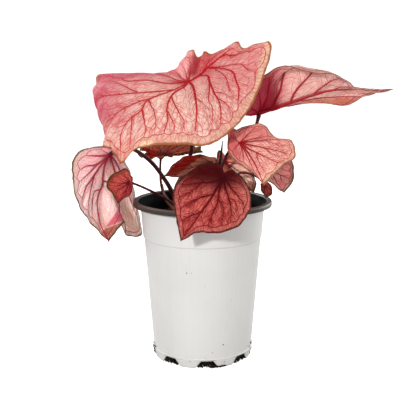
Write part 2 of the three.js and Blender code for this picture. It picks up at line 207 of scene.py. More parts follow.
def keptOn(tree, name):  # the numbers that makePiece kept on the points
    return partsOf(tree, put(tree, "ShaderNodeAttribute", attribute_name=name).outputs["Color"])


def placeIn(tree):  # the place on the piece, in metres
    return put(tree, "ShaderNodeTexCoord").outputs["Object"]


def newMaterial(name):
    material = bpy.data.materials.new(name)
    material.use_nodes = True
    material.node_tree.nodes.clear()
    return material, material.node_tree


# A node group that puts out one mask. An input without a value is a vector.
def newGroup(name, output, **inputs):
    tree = bpy.data.node_groups.new(name, "ShaderNodeTree")
    for label, value in inputs.items():
        kind = "NodeSocketVector" if value is None else "NodeSocketFloat"
        socket = tree.interface.new_socket(name=label, in_out="INPUT", socket_type=kind)
        if value is not None:
            socket.default_value = value
    tree.interface.new_socket(name=output, in_out="OUTPUT", socket_type="NodeSocketFloat")
    given = tree.nodes.new("NodeGroupInput").outputs
    return tree, given, tree.nodes.new("NodeGroupOutput").inputs[output]


def patternOf(tree, group, **sockets):  # a node group placed in a material, with its own values
    return put(tree, "ShaderNodeGroup", sockets, node_tree=group).outputs[0]


# Net: thin lines between irregular cells, from the distance to the nearest cell edge. The place is shaken
# by noise first, by up to `shake` cells.
def netGroup(shake=0.9, shakeRate=0.6):
    tree, given, out = newGroup("fineNet", "lines", place=None, scale=400.0, width=0.12)
    where, scale = given["place"], given["scale"]
    rate = times(tree, scale, shakeRate)
    reach = mathOf(tree, "DIVIDE", shake, scale)
    wobble = put(tree, "ShaderNodeTexNoise", {"Vector": where, "Scale": rate, "Detail": 2.0})
    shift = put(tree, "ShaderNodeVectorMath", {0: wobble.outputs["Color"], 3: reach}, operation="SCALE")
    moved = put(tree, "ShaderNodeVectorMath", {0: where, 1: shift.outputs[0]}, operation="ADD").outputs[0]
    cells = put(tree, "ShaderNodeTexVoronoi", {"Vector": moved, "Scale": scale}, feature="DISTANCE_TO_EDGE")
    near = mathOf(tree, "DIVIDE", cells.outputs["Distance"], given["width"], clamp=True)
    tree.links.new(mathOf(tree, "SUBTRACT", 1.0, near), out)
    return tree


# Streaks: noise with many changes across and few along, where each of the two has its own rate.
def streakGroup():
    tree, given, out = newGroup("streaks", "mask", across=0.0, along=0.0, acrossRate=40.0, alongRate=4.0,
                                low=0.4, high=0.7)
    across = times(tree, given["across"], given["acrossRate"])
    along = times(tree, given["along"], given["alongRate"])
    where = put(tree, "ShaderNodeCombineXYZ", {"X": across, "Y": along}).outputs[0]
    noise = put(tree, "ShaderNodeTexNoise", {"Vector": where, "Scale": 1.0, "Detail": 3.0})
    tree.links.new(rangeOf(tree, noise.outputs["Fac"], given["low"], given["high"]), out)
    return tree


# Mottle: soft irregular patches out of noise.
def mottleGroup():
    tree, given, out = newGroup("mottle", "mask", place=None, scale=60.0, low=0.4, high=0.65)
    noise = put(tree, "ShaderNodeTexNoise", {"Vector": given["place"], "Detail": 5.0,
                                             "Scale": given["scale"], "Roughness": 0.6})
    tree.links.new(rangeOf(tree, noise.outputs["Fac"], given["low"], given["high"]), out)
    return tree


fineNet = netGroup()
streaks = streakGroup()
mottle = mottleGroup()


def mottled(tree, where, scale, low, high):  # patches that set in at noise `low` and are full at `high`
    return patternOf(tree, mottle, place=where, scale=scale, low=low, high=high)


# The skin of a material: colour, roughness and a fine relief that rises by `depth` metres.
def skinOf(tree, colour, roughness, relief=None, depth=0.0003, strength=0.5, specular=0.35):
    skin = put(tree, "ShaderNodeBsdfPrincipled", {"Base Color": colour, "Roughness": roughness,
                                                  "Specular IOR Level": specular})
    if relief is not None:
        bump = put(tree, "ShaderNodeBump", {"Height": relief, "Strength": strength, "Distance": depth})
        tree.links.new(bump.outputs[0], skin.inputs["Normal"])
    return skin


def cover(tree, shader):  # the shader becomes the material's surface
    put(tree, "ShaderNodeOutputMaterial", {"Surface": shader.outputs[0]})


# The sheet of every blade. Shares are of the way out from the stem to the margin.
blade = {
    "thickness": 0.5,
    "rounding": 60,  # power of the share with which the sheet thins to its edge
    "lastRing": 0.992,  # share of the last ring inside the margin
    "knee": 0.5,  # the knee's share where a rim point names none
    "flatAtStem": 0.12,  # share over which the sheet leaves the plane of `up`
    "puff": 1.5,  # how far the blade rises between its veins
    "puffReach": 6.5,  # how far from a vein it has risen
    "puffStart": (0.02, 0.2),  # shares between which the puffing sets in, and dies out
    "puffEnd": (0.85, 1.0),
    "ruffle": (0.8, 21.0),  # height and length of the waves along the margin
    "ruffleSway": (3, 37.0),
    "ruffleStart": 0.5,
    "jag": 0.25,  # how far the margin strays in the blade's own plane
    "jagPower": 6, "curlPower": 4,  # powers of the share with which straying and curls grow outwards
    "jagWaves": [(1.0, 1.9, 2, 7.3), (0.7, 4.7, 1.5, 17.0)],  # height, length, sway and the sway's length
    "jagEase": 8,  # length over which the straying dies out at the notch
    "bandFrom": 0.72,  # shares between which the vein along the margin stays
    "bandTo": 0.96,
    "bandBlur": 0.02,
    "nearVein": 2.4,  # how far a vein's halo reaches
    "edgeReach": 12,  # the edge's distance is kept up to this
    "seed": 40,  # of the first blade, and each following one has one more
}

# The veins on every blade. Fine veins leave a main vein at intervals of `twigSpacing` and grow step by
# step, and hatch lines cross the band at the margin.
vein = {
    "samples": 48,  # points along a main vein
    "thick": 0.95, "thin": 0.22, "taper": 0.8, "least": 0.25,  # width of a main vein from foot to end
    "meets": (0.8, 0.97),  # a vein whose last pair lies between these shares ends on the rim vein
    "endsPast": 0.7,  # the least share of such an end
    "bowColumns": 8,  # columns between two ends for the rim vein's whole bow
    "rimWidth": 0.95,
    "twigSpacing": 4.0, "twigLength": 30.0, "twigSteps": 16, "twigWidth": 0.95,
    "twigStart": (0.1, 0.9),  # where in its interval a fine vein starts
    "twigTurn": (0.35, 0.85),  # radians from the main vein's own direction
    "twigSwing": 0.08, "twigWobble": 0.14,  # how it turns outwards and sways at each step
    "twigFree": 2,  # steps before it can be stopped by another vein
    "twigClear": 0.9, "twigApart": 0.85,  # it stops this near to a main or another fine vein
    "twigLeast": 3, "twigSamples": 9,  # steps that it needs, and points along it
    "twigEnd": 0.55, "twigSpread": (0.7, 1.2),  # width at its end, and how widths differ
    "hatchSpacing": 1.9, "hatchShift": 0.3, "hatchEnd": 0.985, "hatchSpread": (0.7, 1),
    "hatchSamples": 4, "hatchWidth": 0.5,
    "sunk": 0.05,  # how deep a vein's flanks lie in the blade
    "raised": (0.7, 1.6),  # on the upper and on the under face
    "high": {"main": 0.30, "rim": 0.25, "twig": 0.22, "hatch": 0.12},  # height of a vein 1 wide
    "tint": {"main": 1.0, "rim": 0.85, "twig": 0.92, "hatch": 0.62},  # strength of its colour
    "crown": [0.75, 1.0, 0.75],  # strength across it
    "crownPower": 0.7,  # power of the width with which the height grows
}

# Each blade hangs on its stem at `at`, square to `up` there, and ends in the margin `rim`, which runs from
# the notch down one side to the tip, in row number `tip`, and back. Between stem and margin it is drawn
# towards a knee: a fourth number puts the knee in the plane of `up`, that share of the way out, and six
# numbers give the knee itself. A vein is a width and then pairs: the place on the margin, in rows of
# `rim`, and how far out towards it. The pair (0, 0) is the stem. A stem has its radii at foot and neck, and
# its path up from the soil.
#
# `band` is the distance from the margin to the vein along it, which bows outwards by `bow` between the
# veins that meet it and is `rimVein` wide. `bold` and `fine` widen the main and the fine veins. A curl
# lifts the margin near one row: the row, the rows that it takes up, and the lift. `puff`, `ruffle` and
# `jag` stand in for the blade's own, and `rings` and `sectors` are the steps of the grid.
#
# In a look, `upper` and `under` are the colours of the two faces. `blotch` is how many patches of blush lie
# on 100 mm, `halo` is how strongly blush follows the veins, `mesh` how strong the finest net is,
# `heartReach` how far out the dark heart reaches, `line` how ragged the dark `edge` is, and `glow` how much
# light soaks in. A wash lays a colour over the part of the blade past one or more lines: its strength, and
# for each line the direction square to it in the flat leaf, 0 towards the tip, with the distances from
# the stem, in units of 100 mm, where the colour starts and is full. Marks do the same over the band at the
# margin as well, and `bandSides` bound the band's own colour. With `lowerOnly` washes and marks lie on the
# under face alone.
left, right, back = -math.pi / 2, math.pi / 2, math.pi

leaves = {
    "top": {
        "at": (-15, -10, 278), "up": (-0.05, -0.34, 0.93), "tip": 8,
        "band": 11, "bow": 5, "bold": 1.35, "fine": 0.8, "rimVein": 1.15, "rings": 58, "sectors": 224,
        "stem": {"foot": 2.4, "neck": 1.6, "path": [(-17, -1, 143), (-27, -2, 169), (-20, -2, 187),
            (-11, -2, 210), (-12, -6, 245)]},
        "rim": [
            (-5, 16, 302), (-12, 28, 309), (-34, 56, 286), (-71, 64, 281), (-105, 46, 281, 0.6),
            (-108, 24, 261, 1.1), (-94, -12, 225, 0.9), (-86, -36, 214, 0.6), (-76, -54, 204),
            (-59, -58, 219), (-28, -60, 223), (9, -54, 223), (40, -36, 247), (59, -10, 281),
            (68, 16, 316), (42, 28, 311), (35, 31, 317), (11, 24, 305),
        ],
        "curls": [(17.45, 0.22, -1, -3, 5), (4.1, 0.25, -2, 0, 3), (6.4, 0.28, -5.5, 0, -1)],
        "veins": [
            (2.6, (0, 0), (15.4, 0.12), (16.3, 0.34), (16.5, 0.53), (16.3, 0.73), (16, 0.9)),
            (2.2, (16.3, 0.3), (15.4, 0.24), (14.1, 0.24), (12.8, 0.31), (12, 0.46), (11.8, 0.6),
             (11.6, 0.73), (11.4, 0.86)),
            (2.2, (16.5, 0.5), (15.6, 0.46), (14.6, 0.47), (13.5, 0.54), (13, 0.64), (12.6, 0.74),
             (12.1, 0.87)),
            (1.5, (15.9, 0.46), (15, 0.52), (13.9, 0.6), (13.5, 0.7), (13.2, 0.85)),
            (1.4, (16.4, 0.7), (15.9, 0.75), (15.1, 0.81), (14.2, 0.88)),
            (0.9, (15.5, 0.78), (14.8, 0.88), (14.3, 0.93)),
            (2.3, (0, 0), (12, 0.05), (11.4, 0.14), (11.1, 0.25), (10.9, 0.4), (10.8, 0.56),
             (10.7, 0.7), (10.6, 0.85)),
            (2.1, (0, 0), (10, 0.14), (9.2, 0.26), (9.3, 0.42), (9.5, 0.57), (9.7, 0.7), (9.7, 0.86)),
            (1.2, (9.2, 0.34), (9.7, 0.46), (10.1, 0.62), (10.3, 0.74), (10.25, 0.89)),
            (0.9, (9.55, 0.58), (9.8, 0.68), (10, 0.79), (10, 0.9)),
            (1.8, (0, 0), (9.5, 0.11), (8.3, 0.2), (7.2, 0.3), (6.9, 0.42), (7.2, 0.54),
             (7, 0.66), (7, 0.76), (7.2, 0.86), (7.6, 0.94), (8, 1)),
            (1.5, (7.15, 0.52), (8.0, 0.6), (8.5, 0.69), (8.9, 0.78), (9, 0.87)),
            (1.1, (7.05, 0.64), (7.5, 0.73), (8.2, 0.83)),
            (1.0, (6.95, 0.4), (7.8, 0.46), (8.7, 0.56), (9.2, 0.7), (9.4, 0.88)),
            (2.0, (0, 0), (5.6, 0.1), (4.9, 0.22), (5, 0.34), (4.5, 0.5), (4.3, 0.68), (4.1, 0.88)),
            (1.6, (0, 0), (3.7, 0.13), (3.1, 0.34), (2.8, 0.6), (2.8, 0.87)),
            (1.5, (0, 0), (2.3, 0.22), (2, 0.55), (1.9, 0.87)),
            (1.6, (8.3, 0.19), (6.8, 0.24), (5.9, 0.34), (5.6, 0.5), (5.4, 0.68), (5.3, 0.87)),
            (1.0, (5.85, 0.33), (5, 0.45), (4.6, 0.68), (4.55, 0.86)),
            (1.0, (6.95, 0.36), (6.4, 0.5), (6.2, 0.7), (6.2, 0.86)),
            (1.5, (0, 0), (1.2, 0.15), (1.4, 0.45), (1.5, 0.85)),
            (1.5, (0, 0), (0.4, 0.2), (0.8, 0.5), (1.0, 0.85)),
            (1.2, (16.4, 0.36), (16.8, 0.56), (17.2, 0.84)),
            (1.2, (16.5, 0.5), (16.9, 0.68), (16.9, 0.88)),
            (0.8, (10.9, 0.38), (11.15, 0.5), (11.3, 0.64)),
            (0.8, (12, 0.45), (12.2, 0.58), (12.2, 0.74)),
            (0.9, (11.85, 0.58), (11.9, 0.72), (11.85, 0.87)),
            (1.0, (13.4, 0.26), (12.2, 0.36), (11.5, 0.5), (11.4, 0.64), (11.1, 0.84)),
            (0.9, (14.9, 0.46), (13.3, 0.47), (12.5, 0.62), (12.3, 0.72)),
        ],
        "look": {
            "slot": "pale_leaf", "blotch": 9.0, "band": "deb096", "bandShare": 0.6, "heartReach": 0.14,
            "edge": "985828", "line": 0.09, "glow": 0.15, "bandSides": [(1.0, 0.1, 0.3)],
            "wash": [("d4606c", 0.5, (back, -0.4, 0.2)),
                     ("ba4862", 0.85, (left, 0.1, 0.65), (back, -0.85, -0.5)),
                     ("d8704c", 0.35, (0, 0.7, 0.95)),
                     ("c44450", 0.6, (back, 0.08, 0.2), (right, 0.0, 0.05), (left, -0.22, -0.14)),
                     # painted shade: the last wash darkens the fold at the notch
                     ("7c0818", 0.85, (back, 0.08, 0.18), (right, -0.09, -0.04), (left, -0.06, -0.02))],
            "marks": [("7c6234", 0.7, (-1.5, 0.99, 1.04)), ("f0dab4", 0.6, (right, 0.62, 0.67)),
                      ("f6e2b6", 0.7, (0, 0.78, 0.82), (right, -0.16, -0.1), (left, -0.03, 0.04))],
            "upper": {"pale": "ecd2c2", "blush": "de948c", "vein": "bc0a18", "heart": "a40012"},
            "under": {"pale": "e6b8ac", "blush": "d48c88", "vein": "b0202c", "heart": "8a1220"},
        },
    },
    "right": {
        "at": (58, 34, 244), "up": (-0.4, 0.5, 0.77), "tip": 11,
        "band": 9, "bow": 3.5, "bold": 1.3, "fine": 0.65, "puff": 1.0, "rings": 56, "sectors": 208,
        "stem": {"foot": 2.3, "neck": 1.7, "path": [(14, 7, 143), (23, 7, 164), (38, 14, 189),
            (49, 24, 213), (56, 32, 234)]},
        "rim": [
            (49, 32, 242), (45, 25, 243, 51, 29, 243), (38, 19, 249, 47, 27, 245),
            (40, 15, 264, 49, 24, 253), (55, 13, 280, 56, 24, 262), (73, 10, 291, 63, 24, 270),
            (87, 8, 294, 70, 24, 277), (99, 6, 288, 80, 26, 308), (123, 7, 285, 92, 28, 306),
            (138, 10, 283, 100, 30, 294), (160, 24, 270, 112, 34, 282),
            (198, 44, 268, 122, 42, 268), (171, 50, 261, 118, 46, 265),
            (149, 50, 251, 106, 46, 260), (128, 54, 261, 98, 48, 260), (108, 60, 262, 88, 48, 256),
            (79, 74, 256, 66, 54, 250), (62, 62, 249, 58, 48, 246),
        ],
        "veins": [
            (4.2, (0, 0), (11, 0.1), (10.85, 0.28), (10.65, 0.45), (10.5, 0.6), (10.45, 0.76),
             (10.7, 0.9), (11, 1)),
            (2.1, (0, 0), (7.5, 0.14), (5.8, 0.38), (5.1, 0.64), (4.8, 0.87)),
            (2.0, (10.95, 0.1), (9.3, 0.2), (8.2, 0.32), (7.2, 0.56), (6.5, 0.87)),
            (1.9, (10.8, 0.26), (9.9, 0.35), (9.1, 0.57), (8.3, 0.76), (7.9, 0.87)),
            (1.6, (10.6, 0.46), (10, 0.62), (9.3, 0.87)),
            (1.2, (10.5, 0.64), (10.2, 0.75), (9.9, 0.88)),
            (1.5, (0, 0), (4.8, 0.2), (4.2, 0.5), (3.9, 0.86)),
            (1.4, (0, 0), (2.9, 0.3), (2.6, 0.85)),
            (1.0, (0, 0), (1.3, 0.4), (1.3, 0.84)),
            (1.5, (10.75, 0.32), (11.6, 0.46), (12, 0.66), (12.1, 0.87)),
            (1.5, (10.95, 0.15), (12.6, 0.26), (13.2, 0.5), (13.4, 0.86)),
            (1.6, (0, 0), (14.2, 0.2), (14.7, 0.5), (14.8, 0.86)),
            (1.5, (0, 0), (15.8, 0.25), (16.1, 0.86)),
            (1.3, (0, 0), (17, 0.3), (17.2, 0.86)),
        ],
        "look": {
            "slot": "pale_leaf", "blotch": 9.0, "band": "e09480", "bandShare": 0.5, "heartReach": 0.24,
            "edge": "6e4a30", "glow": 0.65, "mesh": 0.25, "lowerOnly": True,
            "wash": [("b01440", 0.9, (back, -0.35, -0.12)),
                     ("b8704c", 0.75, (right, 0.0, 0.03), (0, 0.3, 0.4))],
            "upper": {"pale": "e6c6ba", "blush": "da9490", "vein": "b41420", "heart": "940c18"},
            "under": {"pale": "f0d0c4", "blush": "e2a8a0", "vein": "b80620", "heart": "a0041c"},
        },
    },
    "left": {
        "at": (-91, -12, 208), "up": (-0.75, 0.55, 0.36), "tip": 8,
        "band": 8, "bow": 3, "bold": 1.15, "fine": 0.5, "puff": 0.8, "rings": 56, "sectors": 200,
        "stem": {"foot": 2.6, "neck": 1.7, "path": [(-20, 6, 143), (-31, 5, 168), (-38, 1, 181),
            (-51, -7, 200), (-67, -15, 213), (-81, -19, 218)]},
        "rim": [
            (-94, -8, 215), (-85, 8, 210), (-76, 19, 191), (-71, 22, 168), (-67, 24, 144),
            (-63, 20, 120), (-78, 3, 123), (-77, -16, 140), (-93, -26, 123), (-111, -36, 147),
            (-122, -36, 168), (-126, -28, 189), (-126, -16, 206), (-111, -10, 215),
        ],
        "veins": [
            (2.6, (0, 0), (8.9, 0.12), (8.3, 0.25), (8.1, 0.38), (8.35, 0.5), (8.5, 0.66),
             (8.3, 0.84), (8, 1)),
            (2.4, (0, 0), (12.6, 0.2), (12.45, 0.55), (12.3, 0.87)),
            (2.4, (0, 0), (11, 0.15), (10.95, 0.4), (11.3, 0.64), (11.2, 0.87)),
            (2.2, (0, 0), (10, 0.2), (9.8, 0.5), (9.85, 0.7), (9.7, 0.87)),
            (1.3, (10.9, 0.34), (10.6, 0.55), (10.5, 0.87)),
            (1.2, (9.8, 0.45), (9.3, 0.62), (9.1, 0.86)),
            (1.0, (8.2, 0.45), (8.9, 0.6), (8.75, 0.87)),
            (1.8, (0, 0), (4.4, 0.2), (4.8, 0.42), (5.6, 0.64), (6.1, 0.86)),
            (1.6, (0, 0), (2.7, 0.3), (3.4, 0.6), (4.4, 0.86)),
            (1.2, (8.15, 0.34), (7.1, 0.45), (6.9, 0.65), (7, 0.87)),
            (1.2, (0, 0), (1.3, 0.3), (1.7, 0.86)),
            (1.3, (3.1, 0.46), (2.8, 0.66), (2.9, 0.87)),
            (1.2, (0, 0), (13.4, 0.3), (13.4, 0.86)),
        ],
        "look": {
            "slot": "pale_leaf", "blotch": 9.0, "band": "eccab0", "bandShare": 0.6, "heartReach": 0.2,
            "edge": "4e4426", "glow": 0.8, "mesh": 0.25, "lowerOnly": True,
            "wash": [("f0c4ac", 0.6, (0, 0.5, 0.9)), ("e8a0a8", 0.5, (back, -0.35, 0.05))],
            # the first mark is a pale strip, lightened almost to white as painted light where it lies in
            # shade
            "marks": [("fff0e4", 0.95, (left, 0.25, 0.32)),
                      ("c8506a", 0.85, (-0.76, 0.47, 0.49), (2.875, -0.71, -0.69), (right, -0.24, -0.18)),
                      ("9c6448", 0.9, (-0.266, 0.7, 0.715), (right, -0.3, -0.2)),
                      ("34401a", 0.9, (0.1, 0.84, 0.86))],
            "upper": {"pale": "eac8be", "blush": "dc9896", "vein": "b4142a", "heart": "940c1c"},
            "under": {"pale": "ffece6", "blush": "fad0cc", "vein": "c4123a", "heart": "a00c2c"},
        },
    },
    "lobe": {
        "at": (-69, -46, 186), "up": (-0.3, -0.8, 0.4), "tip": 5,
        "band": 4, "bow": 1.5, "jag": 0.3, "ruffle": (0.8, 17), "rings": 26, "sectors": 96,
        "stem": {"foot": 1.7, "neck": 1.1, "path": [(-12, -9, 143), (-32, -18, 162),
            (-49, -30, 174), (-60, -39, 181)]},
        "rim": [
            (-66, -47, 191), (-71, -46, 198), (-80, -50, 197), (-90, -54, 187), (-86, -58, 178),
            (-79, -60, 168), (-68, -54, 175), (-66, -48, 182),
        ],
        "veins": [
            (1.5, (0, 0), (5.1, 0.3), (5, 0.65), (5, 1)),
            (1.2, (0, 0), (6.1, 0.4), (6.2, 0.87)),
            (1.2, (0, 0), (4, 0.4), (4, 0.87)),
            (1.2, (0, 0), (3, 0.4), (2.9, 0.87)),
            (1.0, (0, 0), (1.8, 0.4), (1.7, 0.87)),
            (0.9, (0, 0), (7.2, 0.5), (7.2, 0.86)),
            (0.7, (5.05, 0.4), (5.5, 0.6), (5.6, 0.86)),
        ],
        "look": {
            "slot": "red_leaf", "blotch": 14.0, "band": "c86454", "bandShare": 0.4, "heartReach": 0.3,
            "edge": "3c3a18", "wash": [("a0143c", 0.6, (right, -0.03, 0.03))],
            "upper": {"pale": "dc6a5c", "blush": "b43c3c", "vein": "7c1018", "heart": "5a0810"},
            "under": {"pale": "a85048", "blush": "8c3834", "vein": "701418", "heart": "5a0c10"},
        },
    },
    "front": {
        "at": (20, -58, 192), "up": (-0.1, -0.6, 0.8), "tip": 7,
        "band": 7, "bow": 1.6, "rimVein": 1.1, "rings": 52, "sectors": 184,
        "stem": {"foot": 2.2, "neck": 1.5, "path": [(6, -18, 143), (9, -24, 169), (15, -42, 186)]},
        "rim": [
            (20, -54, 196), (16, -52, 204), (1, -58, 205), (-14, -64, 197), (-26, -72, 185),
            (-26, -80, 168), (-23, -86, 154), (-20, -88, 138), (-6, -96, 147), (17, -96, 148),
            (34, -92, 154), (44, -84, 170), (41, -70, 188), (28, -58, 199),
        ],
        "veins": [
            (2.6, (0, 0), (7.9, 0.18), (7.8, 0.5), (7.4, 0.76), (7, 1)),
            (1.8, (0, 0), (4.7, 0.18), (3.9, 0.5), (3.9, 0.87)),
            (1.5, (7.85, 0.34), (5.9, 0.5), (5.3, 0.87)),
            (1.2, (7.6, 0.62), (6.5, 0.74), (6.2, 0.88)),
            (1.6, (0, 0), (2.2, 0.3), (2.4, 0.87)),
            (1.3, (0, 0), (1.1, 0.4), (1.3, 0.86)),
            (2.0, (0, 0), (8.4, 0.22), (8.6, 0.5), (8.45, 0.74), (8.4, 0.88)),
            (1.8, (0, 0), (9.4, 0.2), (9.7, 0.6), (9.5, 0.87)),
            (1.6, (0, 0), (10.5, 0.3), (10.7, 0.7), (10.6, 0.87)),
            (1.4, (0, 0), (11.9, 0.3), (11.9, 0.86)),
            (1.1, (0, 0), (12.9, 0.5), (12.9, 0.86)),
            (0.8, (8.5, 0.4), (9.1, 0.6), (9, 0.86)),
            (0.8, (9.6, 0.45), (10.2, 0.6), (10.1, 0.86)),
            (0.8, (4.0, 0.4), (3.2, 0.6), (3.2, 0.86)),
            (0.8, (3.9, 0.46), (4.6, 0.65), (4.6, 0.87)),
        ],
        "look": {
            "slot": "red_leaf", "blotch": 12.0, "band": "d0746a", "bandShare": 0.5, "heartReach": 0.35,
            "edge": "3c1812",
            # the first wash is painted light: it lightens the right half, the side the light falls on
            "wash": [("f09484", 0.6, (right, 0.0, 0.4)), ("180001", 0.98, (back, -0.25, 0.04))],
            "marks": [("7c6a3c", 0.6, (0, 0.74, 0.8))], "bandSides": [(0, 0.0, 0.2)], "halo": 1.0,
            "upper": {"pale": "da6e64", "blush": "9c2024", "vein": "640006", "heart": "3c0004"},
            "under": {"pale": "a85048", "blush": "8c3834", "vein": "701418", "heart": "54080c"},
        },
    },
    "middle": {
        "at": (36, -30, 221), "up": (-0.1, -0.7, 0.7), "tip": 7,
        "band": 6, "bow": 2.4, "fine": 0.8, "rings": 46, "sectors": 172,
        "stem": {"foot": 2, "neck": 1.3, "path": [(8, -6, 143), (13, -6, 171), (21, -13, 201),
            (27, -20, 213)]},
        "rim": [
            (33, -21, 233), (26, -22, 234), (24, -28, 221), (26, -36, 210), (36, -42, 201),
            (47, -47, 195), (53, -50, 189), (58, -52, 183), (63, -50, 188), (76, -44, 200),
            (89, -36, 209), (85, -26, 224), (71, -20, 225), (61, -14, 237), (45, -16, 237),
        ],
        "veins": [
            (2.0, (0, 0), (7.9, 0.2), (7.5, 0.6), (7, 1)),
            (1.9, (0, 0), (8.6, 0.25), (8.9, 0.6), (9, 0.87)),
            (1.8, (0, 0), (9.8, 0.3), (10, 0.87)),
            (1.7, (0, 0), (11, 0.3), (11, 0.87)),
            (1.4, (0, 0), (12.2, 0.4), (12.2, 0.86)),
            (1.2, (0, 0), (13.4, 0.5), (13.4, 0.86)),
            (1.4, (0, 0), (6, 0.3), (5.6, 0.87)),
            (1.3, (0, 0), (4.6, 0.4), (4.4, 0.87)),
            (1.0, (0, 0), (3, 0.5), (3, 0.86)),
            (0.9, (8.75, 0.42), (8.2, 0.62), (8.1, 0.87)),
            (0.8, (9.85, 0.45), (9.5, 0.65), (9.5, 0.87)),
            (0.8, (10.9, 0.5), (10.5, 0.68), (10.5, 0.87)),
            (0.8, (0, 0), (1.4, 0.5), (1.4, 0.84)),
        ],
        "look": {
            "slot": "pale_leaf", "blotch": 12.0, "band": "ecb49a", "bandShare": 0.6, "heartReach": 0.25,
            "edge": "8a5a40",
            "wash": [("b83c48", 0.6, (left, 0.0, 0.05)), ("cc5458", 0.45, (back, -0.1, 0.12))],
            "marks": [("f8d4b0", 0.6, (0.5, 0.34, 0.48))],
            "upper": {"pale": "f8c8b8", "blush": "e0887e", "vein": "bc1c28", "heart": "980c18"},
            "under": {"pale": "d89888", "blush": "c47068", "vein": "9c1c26", "heart": "801018"},
        },
    },
    "low": {
        "at": (66, 2, 192), "up": (0.2, -0.8, 0.5), "tip": 4,
        "band": 5, "bow": 2, "fine": 0.6, "rings": 30, "sectors": 120,
        "stem": {"foot": 1.9, "neck": 1.2, "path": [(20, -1, 143), (33, 1, 170), (48, 8, 184),
            (60, 12, 189)]},
        "rim": [
            (66, 6, 200), (55, -4, 191), (63, -12, 182), (73, -16, 176), (81, -14, 169),
            (91, -4, 181), (91, 4, 198), (80, 8, 203),
        ],
        "veins": [
            (1.7, (0, 0), (4.1, 0.3), (4, 0.65), (4, 1)),
            (1.5, (0, 0), (4.9, 0.35), (5, 0.87)),
            (1.4, (0, 0), (5.9, 0.4), (6, 0.87)),
            (1.3, (0, 0), (6.9, 0.45), (7, 0.86)),
            (1.3, (0, 0), (3, 0.4), (3, 0.87)),
            (1.1, (0, 0), (1.6, 0.5), (1.7, 0.86)),
            (0.8, (4.95, 0.5), (4.5, 0.65), (4.5, 0.88)),
            (0.8, (5.9, 0.5), (5.5, 0.65), (5.5, 0.87)),
        ],
        "look": {
            "slot": "pale_leaf", "blotch": 13.0, "band": "dca090", "bandShare": 0.5, "heartReach": 0.3,
            "edge": "5a5a2c", "glow": 0.9, "mesh": 0.3,
            "upper": {"pale": "ffccc0", "blush": "ff9890", "vein": "dc2840", "heart": "a00c20"},
            "under": {"pale": "d49088", "blush": "bc6464", "vein": "9a1c28", "heart": "841220"},
        },
    },
    "back": {
        "at": (22, 8, 198), "up": (0, -0.8, 0.5), "tip": 5,
        "band": 5, "bow": 2, "fine": 0.6, "rings": 30, "sectors": 120,
        "stem": {"foot": 1.8, "neck": 1.2, "path": [(2, 9, 143), (10, 14, 169), (18, 20, 187)]},
        "rim": [
            (23, 12, 203), (17, 14, 209), (14, 10, 201), (17, 2, 188), (35, -8, 178),
            (51, -14, 170), (54, -6, 179), (45, 4, 195), (33, 12, 207),
        ],
        "veins": [
            (1.6, (0, 0), (5, 0.3), (5, 0.65), (5, 1)),
            (1.3, (0, 0), (4, 0.4), (4, 0.87)),
            (1.2, (0, 0), (3, 0.5), (3, 0.87)),
            (1.3, (0, 0), (6, 0.4), (6, 0.87)),
            (1.2, (0, 0), (7, 0.4), (7, 0.86)),
            (1.1, (0, 0), (8.1, 0.5), (8.1, 0.86)),
            (1.0, (0, 0), (1.6, 0.5), (1.6, 0.85)),
            (0.7, (5, 0.4), (4.5, 0.65), (4.5, 0.87)),
            (0.7, (5, 0.45), (5.5, 0.65), (5.5, 0.87)),
        ],
        "look": {
            "slot": "pale_leaf", "blotch": 13.0, "band": "e8c4a0", "bandShare": 0.7, "heartReach": 0.3,
            "edge": "4c5a2a", "glow": 0.9, "mesh": 0.3, "wash": [("fadcc0", 0.7, (0.9, 0.18, 0.3))],
            "upper": {"pale": "ffe4cc", "blush": "ffaa94", "vein": "d42434", "heart": "980c1c"},
            "under": {"pale": "d49c8a", "blush": "bc7068", "vein": "981a24", "heart": "841220"},
        },
    },
    "shade": {
        "at": (10, -22, 201), "up": (0, -0.3, 0.95), "tip": 4,
        "band": 5, "bow": 2, "rings": 34, "sectors": 132,
        "stem": {"foot": 1.8, "neck": 1.2, "path": [(-1, -11, 143), (3, -13, 172), (8, -18, 190)]},
        "rim": [
            (14, -16, 202), (11, -10, 204), (-5, -8, 207), (-23, -20, 204), (-38, -44, 190),
            (-21, -50, 192), (-2, -53, 199), (11, -42, 201),
        ],
        "veins": [
            (1.9, (0, 0), (4.1, 0.3), (4, 0.65), (4, 1)),
            (1.4, (0, 0), (3.1, 0.4), (3.1, 0.87)),
            (1.2, (0, 0), (2.1, 0.5), (2.1, 0.86)),
            (1.4, (0, 0), (5.1, 0.4), (5, 0.87)),
            (1.3, (0, 0), (6.1, 0.4), (6, 0.87)),
            (1.1, (0, 0), (7.2, 0.5), (7.1, 0.85)),
            (0.8, (4.05, 0.4), (3.5, 0.6), (3.5, 0.87)),
            (0.8, (4.05, 0.45), (4.5, 0.62), (4.5, 0.87)),
        ],
        "look": {
            "slot": "red_leaf", "blotch": 14.0, "band": "b4503c", "bandShare": 0.6, "heartReach": 0.4,
            "edge": "4a2014", "wash": [("ac745c", 0.8, (right, -0.17, -0.14))],
            "upper": {"pale": "96221a", "blush": "74100c", "vein": "4c0408", "heart": "380406"},
            "under": {"pale": "8c2c22", "blush": "6c1612", "vein": "4c080a", "heart": "3c0406"},
        },
    },
    "under": {
        "at": (-42, 10, 204), "up": (0, -0.3, 0.95), "tip": 5,
        "band": 5, "bow": 2, "jag": 0.8, "ruffle": (1.5, 12), "rings": 34, "sectors": 132,
        "stem": {"foot": 1.7, "neck": 1.1, "path": [(-26, 14, 143), (-41, 17, 167),
            (-43, 15, 190)]},
        "rim": [
            (-54, 13, 206), (-66, 6, 205), (-48, 2, 202), (-20, 7, 206), (-3, 11, 208),
            (1, 19, 208), (-3, 26, 210), (-13, 34, 213), (-34, 38, 217), (-54, 32, 214),
            (-65, 23, 210),
        ],
        "veins": [
            (1.8, (0, 0), (5, 0.3), (5, 0.65), (5, 1)),
